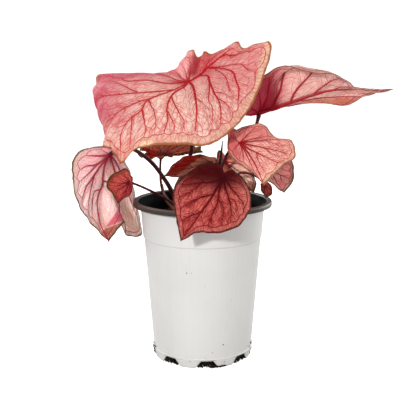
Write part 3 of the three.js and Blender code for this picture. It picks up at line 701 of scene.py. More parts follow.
            (1.3, (0, 0), (4, 0.4), (4, 0.87)),
            (1.2, (0, 0), (3, 0.5), (3, 0.86)),
            (1.3, (0, 0), (6.2, 0.4), (6.1, 0.87)),
            (1.3, (0, 0), (7.4, 0.4), (7.3, 0.87)),
            (1.3, (0, 0), (8.5, 0.4), (8.6, 0.87)),
            (1.1, (0, 0), (9.6, 0.5), (9.6, 0.85)),
            (1.0, (0, 0), (1.4, 0.5), (1.4, 0.85)),
        ],
        "look": {
            "slot": "red_leaf", "blotch": 14.0, "band": "c89468", "bandShare": 0.75, "heartReach": 0.4,
            "edge": "6a6a28", "glow": 0.6, "wash": [("d88870", 0.75, (right, 0.06, 0.12))],
            "marks": [("8c9c44", 0.8, (-2.74, 0.16, 0.2)), ("80903c", 0.8, (0.325, 0.32, 0.38))],
            "upper": {"pale": "dc3c1c", "blush": "b01c0c", "vein": "60080a", "heart": "440608"},
            "under": {"pale": "e0482a", "blush": "bc2414", "vein": "640c10", "heart": "4c0608"},
        },
    },
    "young": {
        "at": (60, -25, 180), "up": (0.3, -0.9, 0.3), "tip": 4,
        "band": 3, "bow": 1, "rings": 18, "sectors": 72,
        "stem": {"foot": 1.5, "neck": 1, "path": [(15, -12, 143), (25, -12, 172), (37, -17, 190),
            (48, -19, 189), (57, -20, 184)]},
        "rim": [
            (62, -23, 183), (57, -25, 180), (57, -28, 177), (58, -30, 173), (61, -31, 167),
            (65, -28, 169), (68, -26, 171), (68, -23, 176), (65, -22, 181),
        ],
        "veins": [
            (1.1, (0, 0), (4, 0.4), (4, 1)),
            (0.8, (0, 0), (2.8, 0.5), (2.8, 0.87)),
            (0.8, (0, 0), (5.2, 0.5), (5.2, 0.87)),
            (0.7, (0, 0), (6.4, 0.5), (6.4, 0.86)),
            (0.7, (0, 0), (1.7, 0.5), (1.7, 0.86)),
        ],
        "look": {
            "slot": "red_leaf", "blotch": 20.0, "band": "9c5844", "bandShare": 0.4, "heartReach": 0.5,
            "edge": "3c2c18",
            "upper": {"pale": "a44436", "blush": "7c2c24", "vein": "541014", "heart": "400c10"},
            "under": {"pale": "90443a", "blush": "702c26", "vein": "501014", "heart": "400c10"},
        },
    },
}


# Rows of margin point, knee and place on the margin, evenly spaced round the blade, first and last alike.
def marginRows(leaf):
    at, up = np.array(leaf["at"], float), unit(leaf["up"])
    rows = []
    for number, given in enumerate(leaf["rim"]):
        point = np.array(given[:3], float)
        share = given[3] if len(given) == 4 else blade["knee"]
        out = point - at
        level = unit(out - (out @ up) * up) * np.linalg.norm(out) * share
        knee = np.array(given[3:], float) if len(given) == 6 else at + level
        rows.append(np.concatenate([point, knee, [number]]))
    rows = np.array(rows)
    closing = np.concatenate([rows[0, :6], [len(rows)]])
    half = leaf["sectors"] // 2
    down = evenCurve(rows[:leaf["tip"] + 1], half + 1)
    upAgain = evenCurve(np.vstack([rows[leaf["tip"]:], closing]), half + 1)
    return np.vstack([down[:-1], upAgain])


# How far the margin strays in the blade's own plane: a sum of waves high sin(arc / length + sway
# sin(arc / swayLength)), which dies out at the notch.
def strayOf(leaf, arc):
    waves = sum(high * np.sin(arc / length + sway * np.sin(arc / swayLength))
                for high, length, sway, swayLength in blade["jagWaves"])
    ease = blade["jagEase"]
    waves = leaf.get("jag", blade["jag"]) * waves * smooth(arc, 0, ease)
    return waves * (1 - smooth(arc, arc[-1] - ease, arc[-1]))


# The blade as a function of share (0 at the stem, 1 at the margin) and turn round the stem. Each ray is a
# parabola: (1-s)^2 at + 2s(1-s) knee + s^2 margin.
class Blade:
    def __init__(self, leaf):
        self.leaf = leaf
        self.up = unit(leaf["up"])
        rows = marginRows(leaf)
        margin, knee, self.rowPlace = rows[:, :3], rows[:, 3:6], rows[:, 6]
        at = np.array(leaf["at"], float)
        self.share = np.concatenate([np.linspace(0, 1, leaf["rings"] + 1)[:-1], [blade["lastRing"], 1.0]])
        s = self.share[:, None, None]
        self.middle = (1 - s) ** 2 * at + 2 * s * (1 - s) * knee + s ** 2 * margin
        self.arc = reachAlong(margin)
        self.middle += unit(margin - knee) * strayOf(leaf, self.arc)[:, None] * s ** blade["jagPower"]
        for row, breadth, *lift in leaf.get("curls", []):
            near = np.exp(-((self.rowPlace - row) / breadth) ** 2)[:, None]
            self.middle += near * np.array(lift) * s ** blade["curlPower"]
        rays = unit(margin - at)
        turn = np.arccos(np.clip((rays[1:] * rays[:-1]).sum(1), -1, 1))
        total = np.concatenate([[0], np.cumsum(turn)])
        self.angle = total / total[-1] * 2 * np.pi
        self.columns = np.arange(len(self.angle))
        self.length = np.linalg.norm(np.diff(self.middle, axis=0), axis=2).sum(0)
        self.flat = flatPoints(self.share[:, None] * self.length, self.angle + np.pi)
        self.edge = (1 - self.share)[:, None] * self.length
        self.bandEnd = np.maximum(1 - leaf["band"] / self.length, blade["bandFrom"])

    # Flat places, in millimetres round the stem, of places on the margin and shares of the way out.
    def flatOf(self, pairs):
        pairs = np.asarray(pairs, float)
        angle = np.interp(pairs[:, 0], self.rowPlace, self.angle)
        radius = pairs[:, 1] * np.interp(pairs[:, 0], self.rowPlace, self.length)
        return flatPoints(radius, angle + np.pi)

    # Flat places of columns on the grid and shares of the way out.
    def flatAt(self, column, share):
        angle = np.interp(column, self.columns, self.angle) + np.pi
        return flatPoints(share * np.interp(column, self.columns, self.length), angle)

    # Columns on the grid and shares of the way out of flat places.
    def gridOf(self, flat):
        angle = np.mod(np.arctan2(flat[..., 1], flat[..., 0]) - np.pi, 2 * np.pi)
        column = np.interp(angle, self.angle, self.columns)
        radius = np.hypot(flat[..., 0], flat[..., 1])
        return column, np.clip(radius / np.interp(column, self.columns, self.length), 0, 1)

    # A grid read between its points: weighted mean of the four points around.
    def read(self, grid, column, share):
        row = np.interp(share, self.share, np.arange(len(self.share)))
        i = np.clip(row.astype(int), 0, len(self.share) - 2)
        j = np.clip(column.astype(int), 0, grid.shape[1] - 2)
        u, v = (row - i)[..., None], (column - j)[..., None]
        near = grid[i, j] * (1 - v) + grid[i, j + 1] * v
        far = grid[i + 1, j] * (1 - v) + grid[i + 1, j + 1] * v
        return near * (1 - u) + far * u

    # Unit normals: cross product of the two directions of the grid, eased to `up` at the stem.
    def normals(self):
        wrapped = np.concatenate([self.middle[:, -2:-1], self.middle, self.middle[:, 1:2]], 1)
        outward = np.gradient(self.middle, self.share, axis=0)
        onward = (wrapped[:, 2:] - wrapped[:, :-2]) / 2
        found = unit(np.cross(outward, onward))
        found[0] = self.up
        ease = smooth(self.share, 0.0, blade["flatAtStem"])[:, None, None]
        return unit(found * ease + self.up * (1 - ease))


def nearestTo(places, marks):  # distance from each place to the nearest mark
    return np.sqrt(((places[:, None] - marks[None]) ** 2).sum(2)).min(1)


# Main veins as an array (veins, samples, 2) of flat places, with a width for each sample.
def mainVeins(shape):
    lines, widths = [], []
    fade = np.linspace(0, 1, vein["samples"])
    low, high = vein["meets"]
    for width, *pairs in shape.leaf["veins"]:
        row, share = pairs[-1]
        if low < share < high:
            pairs = [*pairs[:-1], (row, np.interp(row, shape.rowPlace, shape.bandEnd))]
        lines.append(evenCurve(shape.flatOf(pairs), vein["samples"], solid=2))
        breadth = vein["thick"] * (1 - fade) ** vein["taper"] + vein["thin"]
        widths.append(width * shape.leaf.get("bold", 1) * breadth + vein["least"])
    return np.array(lines), np.array(widths)


# Share of the way out of the rim vein at each column: it bows outwards between the ends of the veins that
# meet it, by bow x sin(pi x phase).
def bandShare(shape, lines):
    column, share = shape.gridOf(lines[:, -1])
    ends = np.sort(column[(share > vein["endsPast"]) & (share < vein["meets"][1])])
    stops = np.concatenate([[0], ends, shape.columns[-1:]])
    span = np.clip(np.searchsorted(stops, shape.columns, side="right") - 1, 0, len(stops) - 2)
    gap = stops[span + 1] - stops[span]
    phase = (shape.columns - stops[span]) / np.maximum(gap, 1)
    bow = shape.leaf["bow"] * np.minimum(1, gap / vein["bowColumns"])
    return np.minimum(shape.bandEnd + bow * np.sin(np.pi * phase) / shape.length, blade["bandTo"])


# Where the fine veins leave the main ones, and their headings there.
def twigStarts(lines, rng):
    starts, headings = [], []
    for line in lines:
        count = max(2, int(reachAlong(line)[-1] / vein["twigSpacing"]))
        for side in (-1, 1):
            spots = (np.arange(count) + rng.uniform(*vein["twigStart"], count)) / count * (len(line) - 1)
            i = np.minimum(spots.astype(int), len(line) - 2)
            f = (spots - i)[:, None]
            along = unit(line[i + 1] - line[i])
            starts.append(line[i] * (1 - f) + line[i + 1] * f)
            turn = side * rng.uniform(*vein["twigTurn"], count)
            headings.append(np.arctan2(along[:, 1], along[:, 0]) + turn)
    return np.vstack(starts), np.concatenate(headings)


# Fine veins: they leave a main vein on both sides, turn outwards step by step, and stop at the next main
# vein, at another fine vein or at the rim vein.
def twigs(shape, lines, band, rng):
    start, heading = twigStarts(lines, rng)
    mains = lines[:, ::2].reshape(-1, 2)
    steps, free = vein["twigSteps"], vein["twigFree"]
    stride = vein["twigLength"] / steps
    path = [start]
    alive = np.ones(len(start), bool)
    reached = np.zeros(len(start))
    own = np.arange(len(start))
    for step in range(steps):
        here = path[-1]
        outward = np.arctan2(here[:, 1], here[:, 0])
        swing = np.mod(outward - heading + np.pi, 2 * np.pi) - np.pi
        heading = heading + vein["twigSwing"] * swing + rng.normal(0, vein["twigWobble"], len(heading))
        ahead = here + stride * flatPoints(1, heading)
        column, share = shape.gridOf(ahead)
        alive = alive & (share < np.interp(column, shape.columns, band))
        if step >= free:
            alive = alive & (nearestTo(ahead, mains) > vein["twigClear"])
            laid = np.vstack(path[free:])
            taken = np.tile(own, len(path) - free)
            moving = np.nonzero(alive)[0]
            away = ((ahead[moving, None] - laid[None]) ** 2).sum(2)
            away[moving[:, None] == taken[None]] = np.inf
            alive[moving[away.min(1) < vein["twigApart"] ** 2]] = False
        path.append(np.where(alive[:, None], ahead, here))
        reached += alive
    path = np.array(path).transpose(1, 0, 2)
    grown = reached >= vein["twigLeast"]
    path, reached = path[grown], reached[grown]
    wanted = reached[:, None] * np.linspace(0, 1, vein["twigSamples"])
    i = np.minimum(wanted.astype(int), steps - 1)
    f = (wanted - i)[..., None]
    row = np.arange(len(path))[:, None]
    breadth = vein["twigWidth"] * shape.leaf.get("fine", 1)
    taper = np.linspace(1.0, vein["twigEnd"], vein["twigSamples"])
    widths = breadth * taper * rng.uniform(*vein["twigSpread"], (len(path), 1))
    return path[row, i] * (1 - f) + path[row, i + 1] * f, widths


# The vein along the margin, from the notch round to the notch.
def rimVein(shape, band):
    last = shape.columns[-1]
    column = np.linspace(0, last, 2 * last + 1)
    angle = np.interp(column, shape.columns, shape.angle) + np.pi
    line = flatPoints(np.interp(column, shape.columns, band * shape.length), angle)[None, 1:-1]
    return line, np.full(line.shape[:2], shape.leaf.get("rimVein", vein["rimWidth"]))


# Short lines across the band, from the rim vein towards the edge.
def hatch(shape, band, rng):
    whole = shape.arc[-1]
    count = int(whole / vein["hatchSpacing"])
    shift = rng.uniform(-vein["hatchShift"], vein["hatchShift"], count)
    along = (np.arange(count) + shift + 0.5) / count * whole
    column = np.interp(along, shape.arc, shape.columns)[:, None]
    low = np.interp(column, shape.columns, band)
    way = np.linspace(0, 1, vein["hatchSamples"])
    spread = rng.uniform(*vein["hatchSpread"], (count, 1))
    lines = shape.flatAt(column, low + (vein["hatchEnd"] - low) * way * spread)
    return lines, np.full(lines.shape[:2], vein["hatchWidth"])


# Raised ribbons on one face: three points across each sample, the outer two sunk in the blade. The middle
# one stands lift x width^crownPower over it.
def ribbons(shape, skin, normal, lines, widths, lift):
    column, share = shape.gridOf(lines)
    point, out = shape.read(skin, column, share), unit(shape.read(normal, column, share))
    along = unit(np.gradient(point, axis=1))
    across = unit(np.cross(out, along)) * widths[..., None] / 2
    crown = out * (lift * widths ** vein["crownPower"])[..., None]
    sunk = vein["sunk"] * out
    points = np.stack([point + across - sunk, point + crown, point - across - sunk], 2)
    count, samples = lines.shape[:2]
    each = (np.arange(count) * samples * 3)[:, None, None]
    return points.reshape(-1, 3), (gridFaces(samples, 3)[None] + each).reshape(-1, 4), share


# Two grids as the points of one closed sheet: the stem's end, the upper rings outwards, the lower rings
# inwards and the stem's end again.
def closedOver(upper, lower):
    going = upper[1:, :-1].reshape(-1, *upper.shape[2:])
    coming = lower[1:-1, :-1][::-1].reshape(-1, *lower.shape[2:])
    return np.concatenate([upper[0, :1], going, coming, lower[0, :1]])


# Height over the smooth form: puff x (1 - exp(-(distance / reach)^2)) between the veins, and ruffles
# along the margin.
def reliefOf(shape, apart):
    leaf, share = shape.leaf, shape.share
    taper = smooth(share, *blade["puffStart"]) * (1 - smooth(share, *blade["puffEnd"]))
    risen = 1 - np.exp(-(apart / blade["puffReach"]) ** 2)
    relief = leaf.get("puff", blade["puff"]) * risen * taper[:, None]
    ruffle, length = leaf.get("ruffle", blade["ruffle"])
    sway, swayLength = blade["ruffleSway"]
    wave = np.sin(2 * np.pi * shape.arc / length + sway * np.sin(shape.arc / swayLength))
    relief = relief + ruffle * wave * smooth(share, blade["ruffleStart"], 1.0)[:, None]
    relief[:, -1] = relief[:, 0]
    return relief


# A blade: two skins, each half the thickness off the middle surface, closed at the edge, and raised veins
# on both.
def makeBlade(name, leaf, material, seed):
    rng = np.random.default_rng(seed)
    shape = Blade(leaf)
    lines, widths = mainVeins(shape)
    band = bandShare(shape, lines)
    spots = shape.flat.reshape(-1, 2)
    apart = np.min([nearestTo(spots, line) for line in lines], axis=0).reshape(shape.flat.shape[:2])
    shape.middle = shape.middle + shape.normals() * reliefOf(shape, apart)[..., None]

    # the sheet, closed at its edge
    normal = shape.normals()
    half = blade["thickness"] / 2 * np.sqrt(np.clip(1 - shape.share ** blade["rounding"], 0, 1))
    skins = [shape.middle + side * normal * half[:, None, None] for side in (1, -1)]
    rows, columns = len(shape.share), shape.columns[-1]
    points = [closedOver(*skins)]
    ring = np.arange(columns)
    lastRing = 1 + (2 * rows - 4) * columns + ring
    faces = [gridFaces(2 * rows - 3, columns, 1, around=True, turned=True), fanFaces(0, 1 + ring),
             fanFaces(lastRing[-1] + 1, lastRing, turned=True)]

    # `tone` keeps face (0 upper, 1 under), vein and closeness to a vein, and `place` keeps distance from
    # the edge, way out and band
    def spread(grid):
        return closedOver(grid, grid)

    near = spread(np.exp(-(apart / blade["nearVein"]) ** 2))
    top = 1 + (rows - 1) * columns
    face = np.where(np.arange(len(near)) < top, 0.0, 1.0)
    face[top - columns:top] = 0.5
    way = spread(np.broadcast_to(shape.share[:, None], shape.edge.shape))
    inBand = spread(smooth(shape.share[:, None] - band[None], -blade["bandBlur"], blade["bandBlur"]))
    edge = np.clip(spread(shape.edge / blade["edgeReach"]), 0, 1)
    tones = [fourNumbers(face, 0.0, near)]
    places = [fourNumbers(edge, way, inBand)]
    flats = [spread(shape.flat) / 100]

    # the veins, first on the upper face and then on the under face
    drawn = {"main": (lines, widths), "rim": rimVein(shape, band),
             "twig": twigs(shape, lines, band, rng), "hatch": hatch(shape, band, rng)}
    start = len(points[0])
    for number, (skin, out) in enumerate(zip(skins, (normal, -normal))):
        for kind, (paths, breadths) in drawn.items():
            lift = vein["high"][kind] * vein["raised"][number]
            extra, quads, share = ribbons(shape, skin, out, paths, breadths, lift)
            points.append(extra)
            faces.append(quads + start)
            start += len(extra)
            crown = np.tile(vein["crown"], len(extra) // 3)
            tones.append(fourNumbers(float(number), vein["tint"][kind] * crown, 1.0))
            places.append(fourNumbers(1.0, np.repeat(share.reshape(-1), 3), 0.0))
            flats.append(np.repeat(paths.reshape(-1, 2), 3, axis=0) / 100)
    return makePiece(name, np.vstack(points), faces, material, flat=np.vstack(flats),
                     kept={"tone": np.vstack(tones), "place": np.vstack(places)})


# Patterns of every blade's finish. A mottle has its scale and the noise values between which it fills in,
# and a net its scale and the width of its lines.
bladeFinish = {
    "blotchFill": (0.35, 0.7), "blotchShare": 0.7,
    "grain": (90.0, 0.3, 0.75),
    "halo": 0.5, "haloLeast": 0.15,
    "net": (36.0, 0.14), "netShare": 0.3,
    "cells": (15.0, 10.0, 0.16), "mesh": 0.55,  # cells round the stem, on the way out, and their lines
    "rays": {"acrossRate": 60.0, "alongRate": 3.0, "low": 0.45, "high": 0.7}, "rayShare": 0.35,
    "heartShare": 0.9,
    "patches": (14.0, 0.52, 0.66), "scorch": (0.3, 0.1), "scorchShare": 0.6,  # brown spots at the edge
    "line": 0.06, "lineEnds": (0.17, 0.08), "lineShare": 0.9,
    "veinRedFrom": (0.05, 0.9),  # where the veins turn from the heart's colour to their own
    "roughness": (0.42, 0.56), "grainRelief": 0.6, "netRelief": -0.5, "relief": 0.35, "shine": 0.06,
    "glow": 0.4, "soak": 0.001, "soakColour": (1.0, 0.45, 0.35),  # light that soaks through the thin blade
}


# The blade's finish, from the ground up: pale with blush patches and a halo along the veins, washes, a
# band at the margin, marks, a net of finest veins, streaks across the band, a dark heart at the stem, and
# a dark line at the edge. The raised veins carry their own colour.
def bladeMaterial(name, look):
    finish = {**bladeFinish, **look}
    material, tree = newMaterial(name)
    face, onVein, near = keptOn(tree, "tone")[:3]
    edge, way, inBand = keptOn(tree, "place")[:3]
    uv = put(tree, "ShaderNodeUVMap", uv_map="flat").outputs[0]
    flat = put(tree, "ShaderNodeSeparateXYZ", {0: uv}).outputs
    angle = mathOf(tree, "ARCTAN2", flat[1], flat[0])

    def faceOf(key):  # the upper face's colour or the under face's
        return blendOf(tree, face, paint(look["upper"][key]), paint(look["under"][key]))

    def past(share, sides, lower):
        if lower:
            share = times(tree, face, share)
        for turn, low, high in sides:
            across = plus(tree, times(tree, flat[0], math.cos(turn)), times(tree, flat[1], math.sin(turn)))
            share = times(tree, rangeOf(tree, across, low, high), share)
        return share

    def lay(ground, key):  # the look's washes or marks over the ground
        for code, share, *sides in look.get(key, []):
            ground = blendOf(tree, past(share, sides, look.get("lowerOnly", False)), ground, paint(code))
        return ground

    blotch = mottled(tree, uv, finish["blotch"], *finish["blotchFill"])
    grain = mottled(tree, uv, *finish["grain"])
    scale, width = finish["net"]
    net = patternOf(tree, fineNet, place=uv, scale=scale, width=width)
    roundStem, outwards, width = finish["cells"]
    spun = put(tree, "ShaderNodeCombineXYZ", {"X": scaled(tree, angle, roundStem),
                                              "Y": scaled(tree, way, outwards)}).outputs[0]
    cells = patternOf(tree, fineNet, place=spun, scale=1.0, width=width)
    rays = patternOf(tree, streaks, across=angle, along=way, **finish["rays"])

    ground = blendOf(tree, times(tree, blotch, finish["blotchShare"]), faceOf("pale"), faceOf("blush"))
    haloShare = scaled(tree, grain, finish["halo"], finish["haloLeast"])
    ground = blendOf(tree, mathOf(tree, "MULTIPLY", near, haloShare, clamp=True), ground, faceOf("blush"))
    ground = lay(ground, "wash")
    bandMix = times(tree, inBand, past(look["bandShare"], look.get("bandSides", []), False))
    ground = blendOf(tree, bandMix, ground, paint(look["band"]))
    ground = lay(ground, "marks")
    mesh = mathOf(tree, "MAXIMUM", times(tree, net, finish["netShare"]), times(tree, cells, finish["mesh"]))
    ground = blendOf(tree, mesh, ground, faceOf("vein"))
    hatchMix = times(tree, times(tree, inBand, rays), finish["rayShare"])
    ground = blendOf(tree, hatchMix, ground, faceOf("blush"))
    heart = times(tree, rangeOf(tree, way, look["heartReach"], 0.0), finish["heartShare"])
    ground = blendOf(tree, heart, ground, faceOf("heart"))

    patches = times(tree, mottled(tree, uv, *finish["patches"]), finish["scorchShare"])
    scorch = times(tree, rangeOf(tree, edge, *finish["scorch"]), patches)
    uneven = mathOf(tree, "SUBTRACT", edge, scaled(tree, blotch, finish["line"]))
    line = times(tree, rangeOf(tree, uneven, *finish["lineEnds"]), finish["lineShare"])
    ground = blendOf(tree, mathOf(tree, "MAXIMUM", line, scorch), ground, paint(look["edge"]))
    veinColour = blendOf(tree, rangeOf(tree, way, *finish["veinRedFrom"]), faceOf("heart"), faceOf("vein"))
    colour = blendOf(tree, onVein, ground, veinColour)

    roughness = rangeOf(tree, grain, 0.0, 1.0, *finish["roughness"])
    relief = plus(tree, times(tree, grain, finish["grainRelief"]), times(tree, net, finish["netRelief"]))
    skin = skinOf(tree, colour, roughness, relief, strength=finish["relief"], specular=finish["shine"])
    skin.inputs["Subsurface Weight"].default_value = finish["glow"]
    skin.inputs["Subsurface Radius"].default_value = finish["soakColour"]
    skin.inputs["Subsurface Scale"].default_value = finish["soak"]
    cover(tree, skin)
    return material


stalk = {
    "sides": 18,
    "step": 3.0,  # distance between two rings
    "spareRings": 12,
    "samples": 240,  # points that measure its line
    "gather": 0.76,  # a stem's foot on the tuber, as a share of its distance from the axis in the soil's face
    "flare": 1.45, "flareLength": 7.0,  # how a stem widens under its blade
    "swell": 0.025, "swellLength": 5.3,
    "ends": (0.9, 0.4),  # the last two points of its path lie this far under the blade's middle
    "look": {"foot": "280c10", "neck": "5c0e1a", "line": "74282c", "dark": "1d080a", "streak": 0.45,
             "across": 9.0},
}
stalkFinish = {
    "streaks": {"alongRate": 5.0, "low": 0.45, "high": 0.68}, "streakRelief": 0.6,
    "spots": (260.0, 0.45, 0.62), "spotShare": 0.35,
    "neckFrom": (0.35, 1.0),  # shares of the way up between which the foot's colour turns to the neck's
    "roughness": (0.34, 0.5), "depth": 0.00025, "shine": 0.2,
}
tuber = {"centre": 104, "radius": 31, "halfHeight": 17, "clear": 0.4,
         "look": {"dark": "3a281e", "light": "7a5a44", "scale": 160.0, "depth": 0.0006}}


def rooted(path, radius):  # the stem's line, led down inside the soil to the tuber
    x, y = stalk["gather"] * path[0][0], stalk["gather"] * path[0][1]
    share = max(0.0, math.hypot(x, y) - radius) / tuber["radius"]
    top = tuber["centre"] + tuber["halfHeight"] * math.sqrt(1 - share ** 2)
    return [(x, y, top + tuber["clear"]), *path]


# Catmull-Rom curve whose spans are timed by the square root of their length, so that it doesn't swing out.
def easyCurve(rows, count):
    rows = np.asarray(rows, float)
    pad = padded(rows)
    knots = np.concatenate([[0], np.cumsum(np.sqrt(np.linalg.norm(np.diff(pad, axis=0), axis=1)))])
    time = np.linspace(knots[1], knots[-2], count)
    i = np.clip(np.searchsorted(knots, time, side="right") - 1, 1, len(rows) - 1)

    def mixed(a, b, low, high):
        f = ((time - knots[low]) / (knots[high] - knots[low]))[:, None]
        return a * (1 - f) + b * f

    first = [mixed(pad[i + k - 1], pad[i + k], i + k - 1, i + k) for k in range(3)]
    second = [mixed(first[k], first[k + 1], i + k - 1, i + k + 1) for k in range(2)]
    return mixed(second[0], second[1], i, i + 1)


# A round tube along a line: ring k is centre + radius (cos u + sin v), where u and v stay square to the
# line and turn as little as they can. The radius has a number for each ring, or for each of its points.
def tubeGrid(line, radius, sides):
    along = unit(np.gradient(line, axis=0))
    u = np.zeros_like(line)
    u[0] = unit(np.cross(along[0], [0.3, 1, 0.2]))
    for k in range(1, len(line)):
        u[k] = unit(u[k - 1] - (u[k - 1] @ along[k]) * along[k])
    v = np.cross(along, u)
    turn = np.linspace(0, 2 * np.pi, sides, endpoint=False)
    ring = np.cos(turn)[None, :, None] * u[:, None] + np.sin(turn)[None, :, None] * v[:, None]
    return line[:, None] + ring * radius.reshape(len(line), -1, 1)


# A tube with closed ends. Kept on its points: turn round it, length along it in units of 100 mm, and way
# from foot to end.
def makeTube(name, line, radius, material, sides):
    reach = reachAlong(line)
    rows = len(line)
    points = np.vstack([tubeGrid(line, radius, sides).reshape(-1, 3), line[:1], line[-1:]])
    ring = np.arange(sides)
    faces = [gridFaces(rows, sides, around=True), fanFaces(rows * sides, ring, turned=True),
             fanFaces(rows * sides + 1, (rows - 1) * sides + ring)]
    turn = np.concatenate([np.tile(np.linspace(0, 1, sides, endpoint=False), rows), [0.0, 0.0]])
    length = np.concatenate([np.repeat(reach, sides), [0.0, reach[-1]]])
    return makePiece(name, points, faces, material,
                     kept={"place": fourNumbers(turn, length / 100, length / reach[-1])})


# The stem's skin: dark maroon, streaked along its length, lighter and redder towards the blade.
def stemMaterial(name, look):
    material, tree = newMaterial(name)
    turn, length, way = keptOn(tree, "place")[:3]
    across = mathOf(tree, "SINE", scaled(tree, turn, 2 * math.pi))
    lines = patternOf(tree, streaks, across=across, along=length, acrossRate=look["across"],
                      **stalkFinish["streaks"])
    spots = mottled(tree, placeIn(tree), *stalkFinish["spots"])
    up = rangeOf(tree, way, *stalkFinish["neckFrom"])
    colour = blendOf(tree, up, paint(look["foot"]), paint(look["neck"]))
    colour = blendOf(tree, times(tree, lines, look["streak"]), colour, paint(look["line"]))
    colour = blendOf(tree, times(tree, spots, stalkFinish["spotShare"]), colour, paint(look["dark"]))
    roughness = rangeOf(tree, spots, 0.0, 1.0, *stalkFinish["roughness"])
    relief = scaled(tree, lines, stalkFinish["streakRelief"])
    cover(tree, skinOf(tree, colour, roughness, relief, depth=stalkFinish["depth"],
                       specular=stalkFinish["shine"]))
    return material


def evenStalk(points, count=None):  # a smooth line through the points, and the length at each of its rings
    rough = easyCurve(points, stalk["samples"])
    reach = reachAlong(rough)
    count = count or int(reach[-1] / stalk["step"]) + stalk["spareRings"]
    want = reach[-1] * np.linspace(0, 1, count)
    return readAlong(rough, reach, want), want


# A stem: radius = foot + (neck - foot) x way, times a flare under the blade and a slight swell.
def makeStem(name, leaf, material):
    at, up = np.array(leaf["at"], float), unit(leaf["up"])
    stem = leaf["stem"]
    ends = [tuple(at - gap * up) for gap in stalk["ends"]]
    line, want = evenStalk([*rooted(stem["path"], stem["foot"]), *ends])
    flare = 1 + (stalk["flare"] - 1) * smooth(want, want[-1] - stalk["flareLength"], want[-1])
    radius = (stem["foot"] + (stem["neck"] - stem["foot"]) * (want / want[-1])) * flare
    radius = radius * (1 + stalk["swell"] * np.sin(want / stalk["swellLength"] + at[0]))
    piece = makeTube("stem" + name.capitalize(), line, radius, material, stalk["sides"])
    stand(piece, "stem", "stem_" + name)


# The leaf that is still rolled up, and the dry stub of an old one.
shoots = {
    "new_leaf": {"piece": "newLeaf", "slot": "stem", "radii": [1.6, 1.5, 1.9, 1.8, 0.35], "wrap": 0.16,
                 "path": [(6, 2, 143), (12, -1, 171), (18, -5, 202), (20, -8, 221)],
                 "look": {"foot": "2a1414", "neck": "20281a", "line": "4a3a28", "dark": "0c0c08",
                          "streak": 0.5, "across": 7.0}},
    "sheath": {"piece": "oldSheath", "slot": "sheath", "radii": [2.2, 2.4, 2.1, 1.5, 0.4], "wrap": 0.3,
               "path": [(-22, -7, 143), (-37, -5, 163), (-40, -2, 177)],
               "look": {"foot": "4c281e", "neck": "743e30", "line": "96604a", "dark": "2c1610",
                        "streak": 0.7, "across": 12.0}},
}
rolling = {"sides": 28, "rings": 46, "twist": 0.9, "step": 0.06}  # twist in turns, step as a share of one


# A rolled leaf: the tube's section is a circle whose radius grows once round by `wrap` and steps back, so
# that an edge runs spiralling up it.
def makeShoot(node, shoot):
    line, want = evenStalk(rooted(shoot["path"], shoot["radii"][0]), rolling["rings"])
    radius = np.interp(want / want[-1], np.linspace(0, 1, len(shoot["radii"])), shoot["radii"])
    turn = np.linspace(0, 1, rolling["sides"], endpoint=False)[None]
    phase = np.mod(turn + rolling["twist"] * want[:, None] / want[-1], 1)
    rolled = radius[:, None] * (1 - shoot["wrap"] / 2 + shoot["wrap"] * smooth(phase, rolling["step"], 1.0))
    skin = stemMaterial(shoot["piece"] + "Skin", shoot["look"])
    stand(makeTube(shoot["piece"], line, rolled, skin, rolling["sides"]), shoot["slot"], node)


# The pot: a tapered wall with a collar over a step, a rolled lip, a crease near the foot and notches cut
# out of the foot. The first notch is at `firstNotch` degrees from +X.
pot = {
    "height": 161, "rimRadius": 70, "mouthRadius": 64.8, "lipHeight": 5, "collarRadius": 62.6,
    "stepHeight": 124, "stepDepth": 0.9, "creaseHeight": 8.7, "creaseRadius": 51.4, "footRadius": 49.8,
    "wall": 1.4, "floor": 1.6, "flareDrop": 0.6, "floorLap": 0.2,
    # the black plastic also lies under the roll of the lip, as painted shade
    "blackTone": 0.92,  # faces whose tones all lie over this take the black plastic
    "notches": 8, "firstNotch": -85, "notchTop": 12, "notchFoot": 24, "notchHeight": 7.2, "notchInner": 41,
}
potFinish = {
    "white": "d5d4d1", "shade": "cccac7", "grooveShade": "9a9894", "lip": "5c4e47", "black": "060505",
    "soiled": "100c0a", "dust": "6b5444", "speck": "3a2c22",
    "cloud": (22.0, 0.35, 0.7), "cloudShare": 0.35,
    "draws": {"acrossRate": 30.0, "alongRate": 6.0, "low": 0.4, "high": 0.75}, "drawShare": 0.2,
    # painted shade: grey lines along the step and the crease, where shade falls
    "shadedGrooves": (("stepHeight", 0.001, 0.25), ("creaseHeight", 0.0008, 0.3)),  # height, reach, strength
    "dustPatch": (90.0, 0.5, 0.72), "dustHeight": 0.022, "dustShare": 0.15,
    "speckScale": 42.0, "speckSize": (0.09, -0.055), "speckShare": 0.8,
    "lipFrom": (0.1, 0.35), "blackFrom": (0.55, 0.95),  # tones between which white turns dark, and black
    "roughness": (0.36, 0.5), "dullFrom": (0.85, 1.0), "dull": 0.45,
    "fine": (700.0, 0.35, 0.7), "fineRelief": 0.3,
    "soilPatch": (60.0, 0.4, 0.7), "insideRoughness": (0.7, 0.9),
}
lipFoot = pot["height"] - pot["lipHeight"]
wallSlope = (pot["collarRadius"] - pot["creaseRadius"]) / (lipFoot - pot["creaseHeight"])
footSpread = pot["creaseRadius"] - pot["footRadius"]


def collarAt(z):  # outer radius over the step
    return pot["creaseRadius"] + wallSlope * (z - pot["creaseHeight"])


def bodyAt(z):  # outer radius under the step
    return collarAt(z) - pot["stepDepth"]


def wallAt(z):  # outer radius under the step, with the foot
    foot = pot["footRadius"] + footSpread * z / pot["creaseHeight"]
    return np.where(z > pot["creaseHeight"], bodyAt(z), foot)


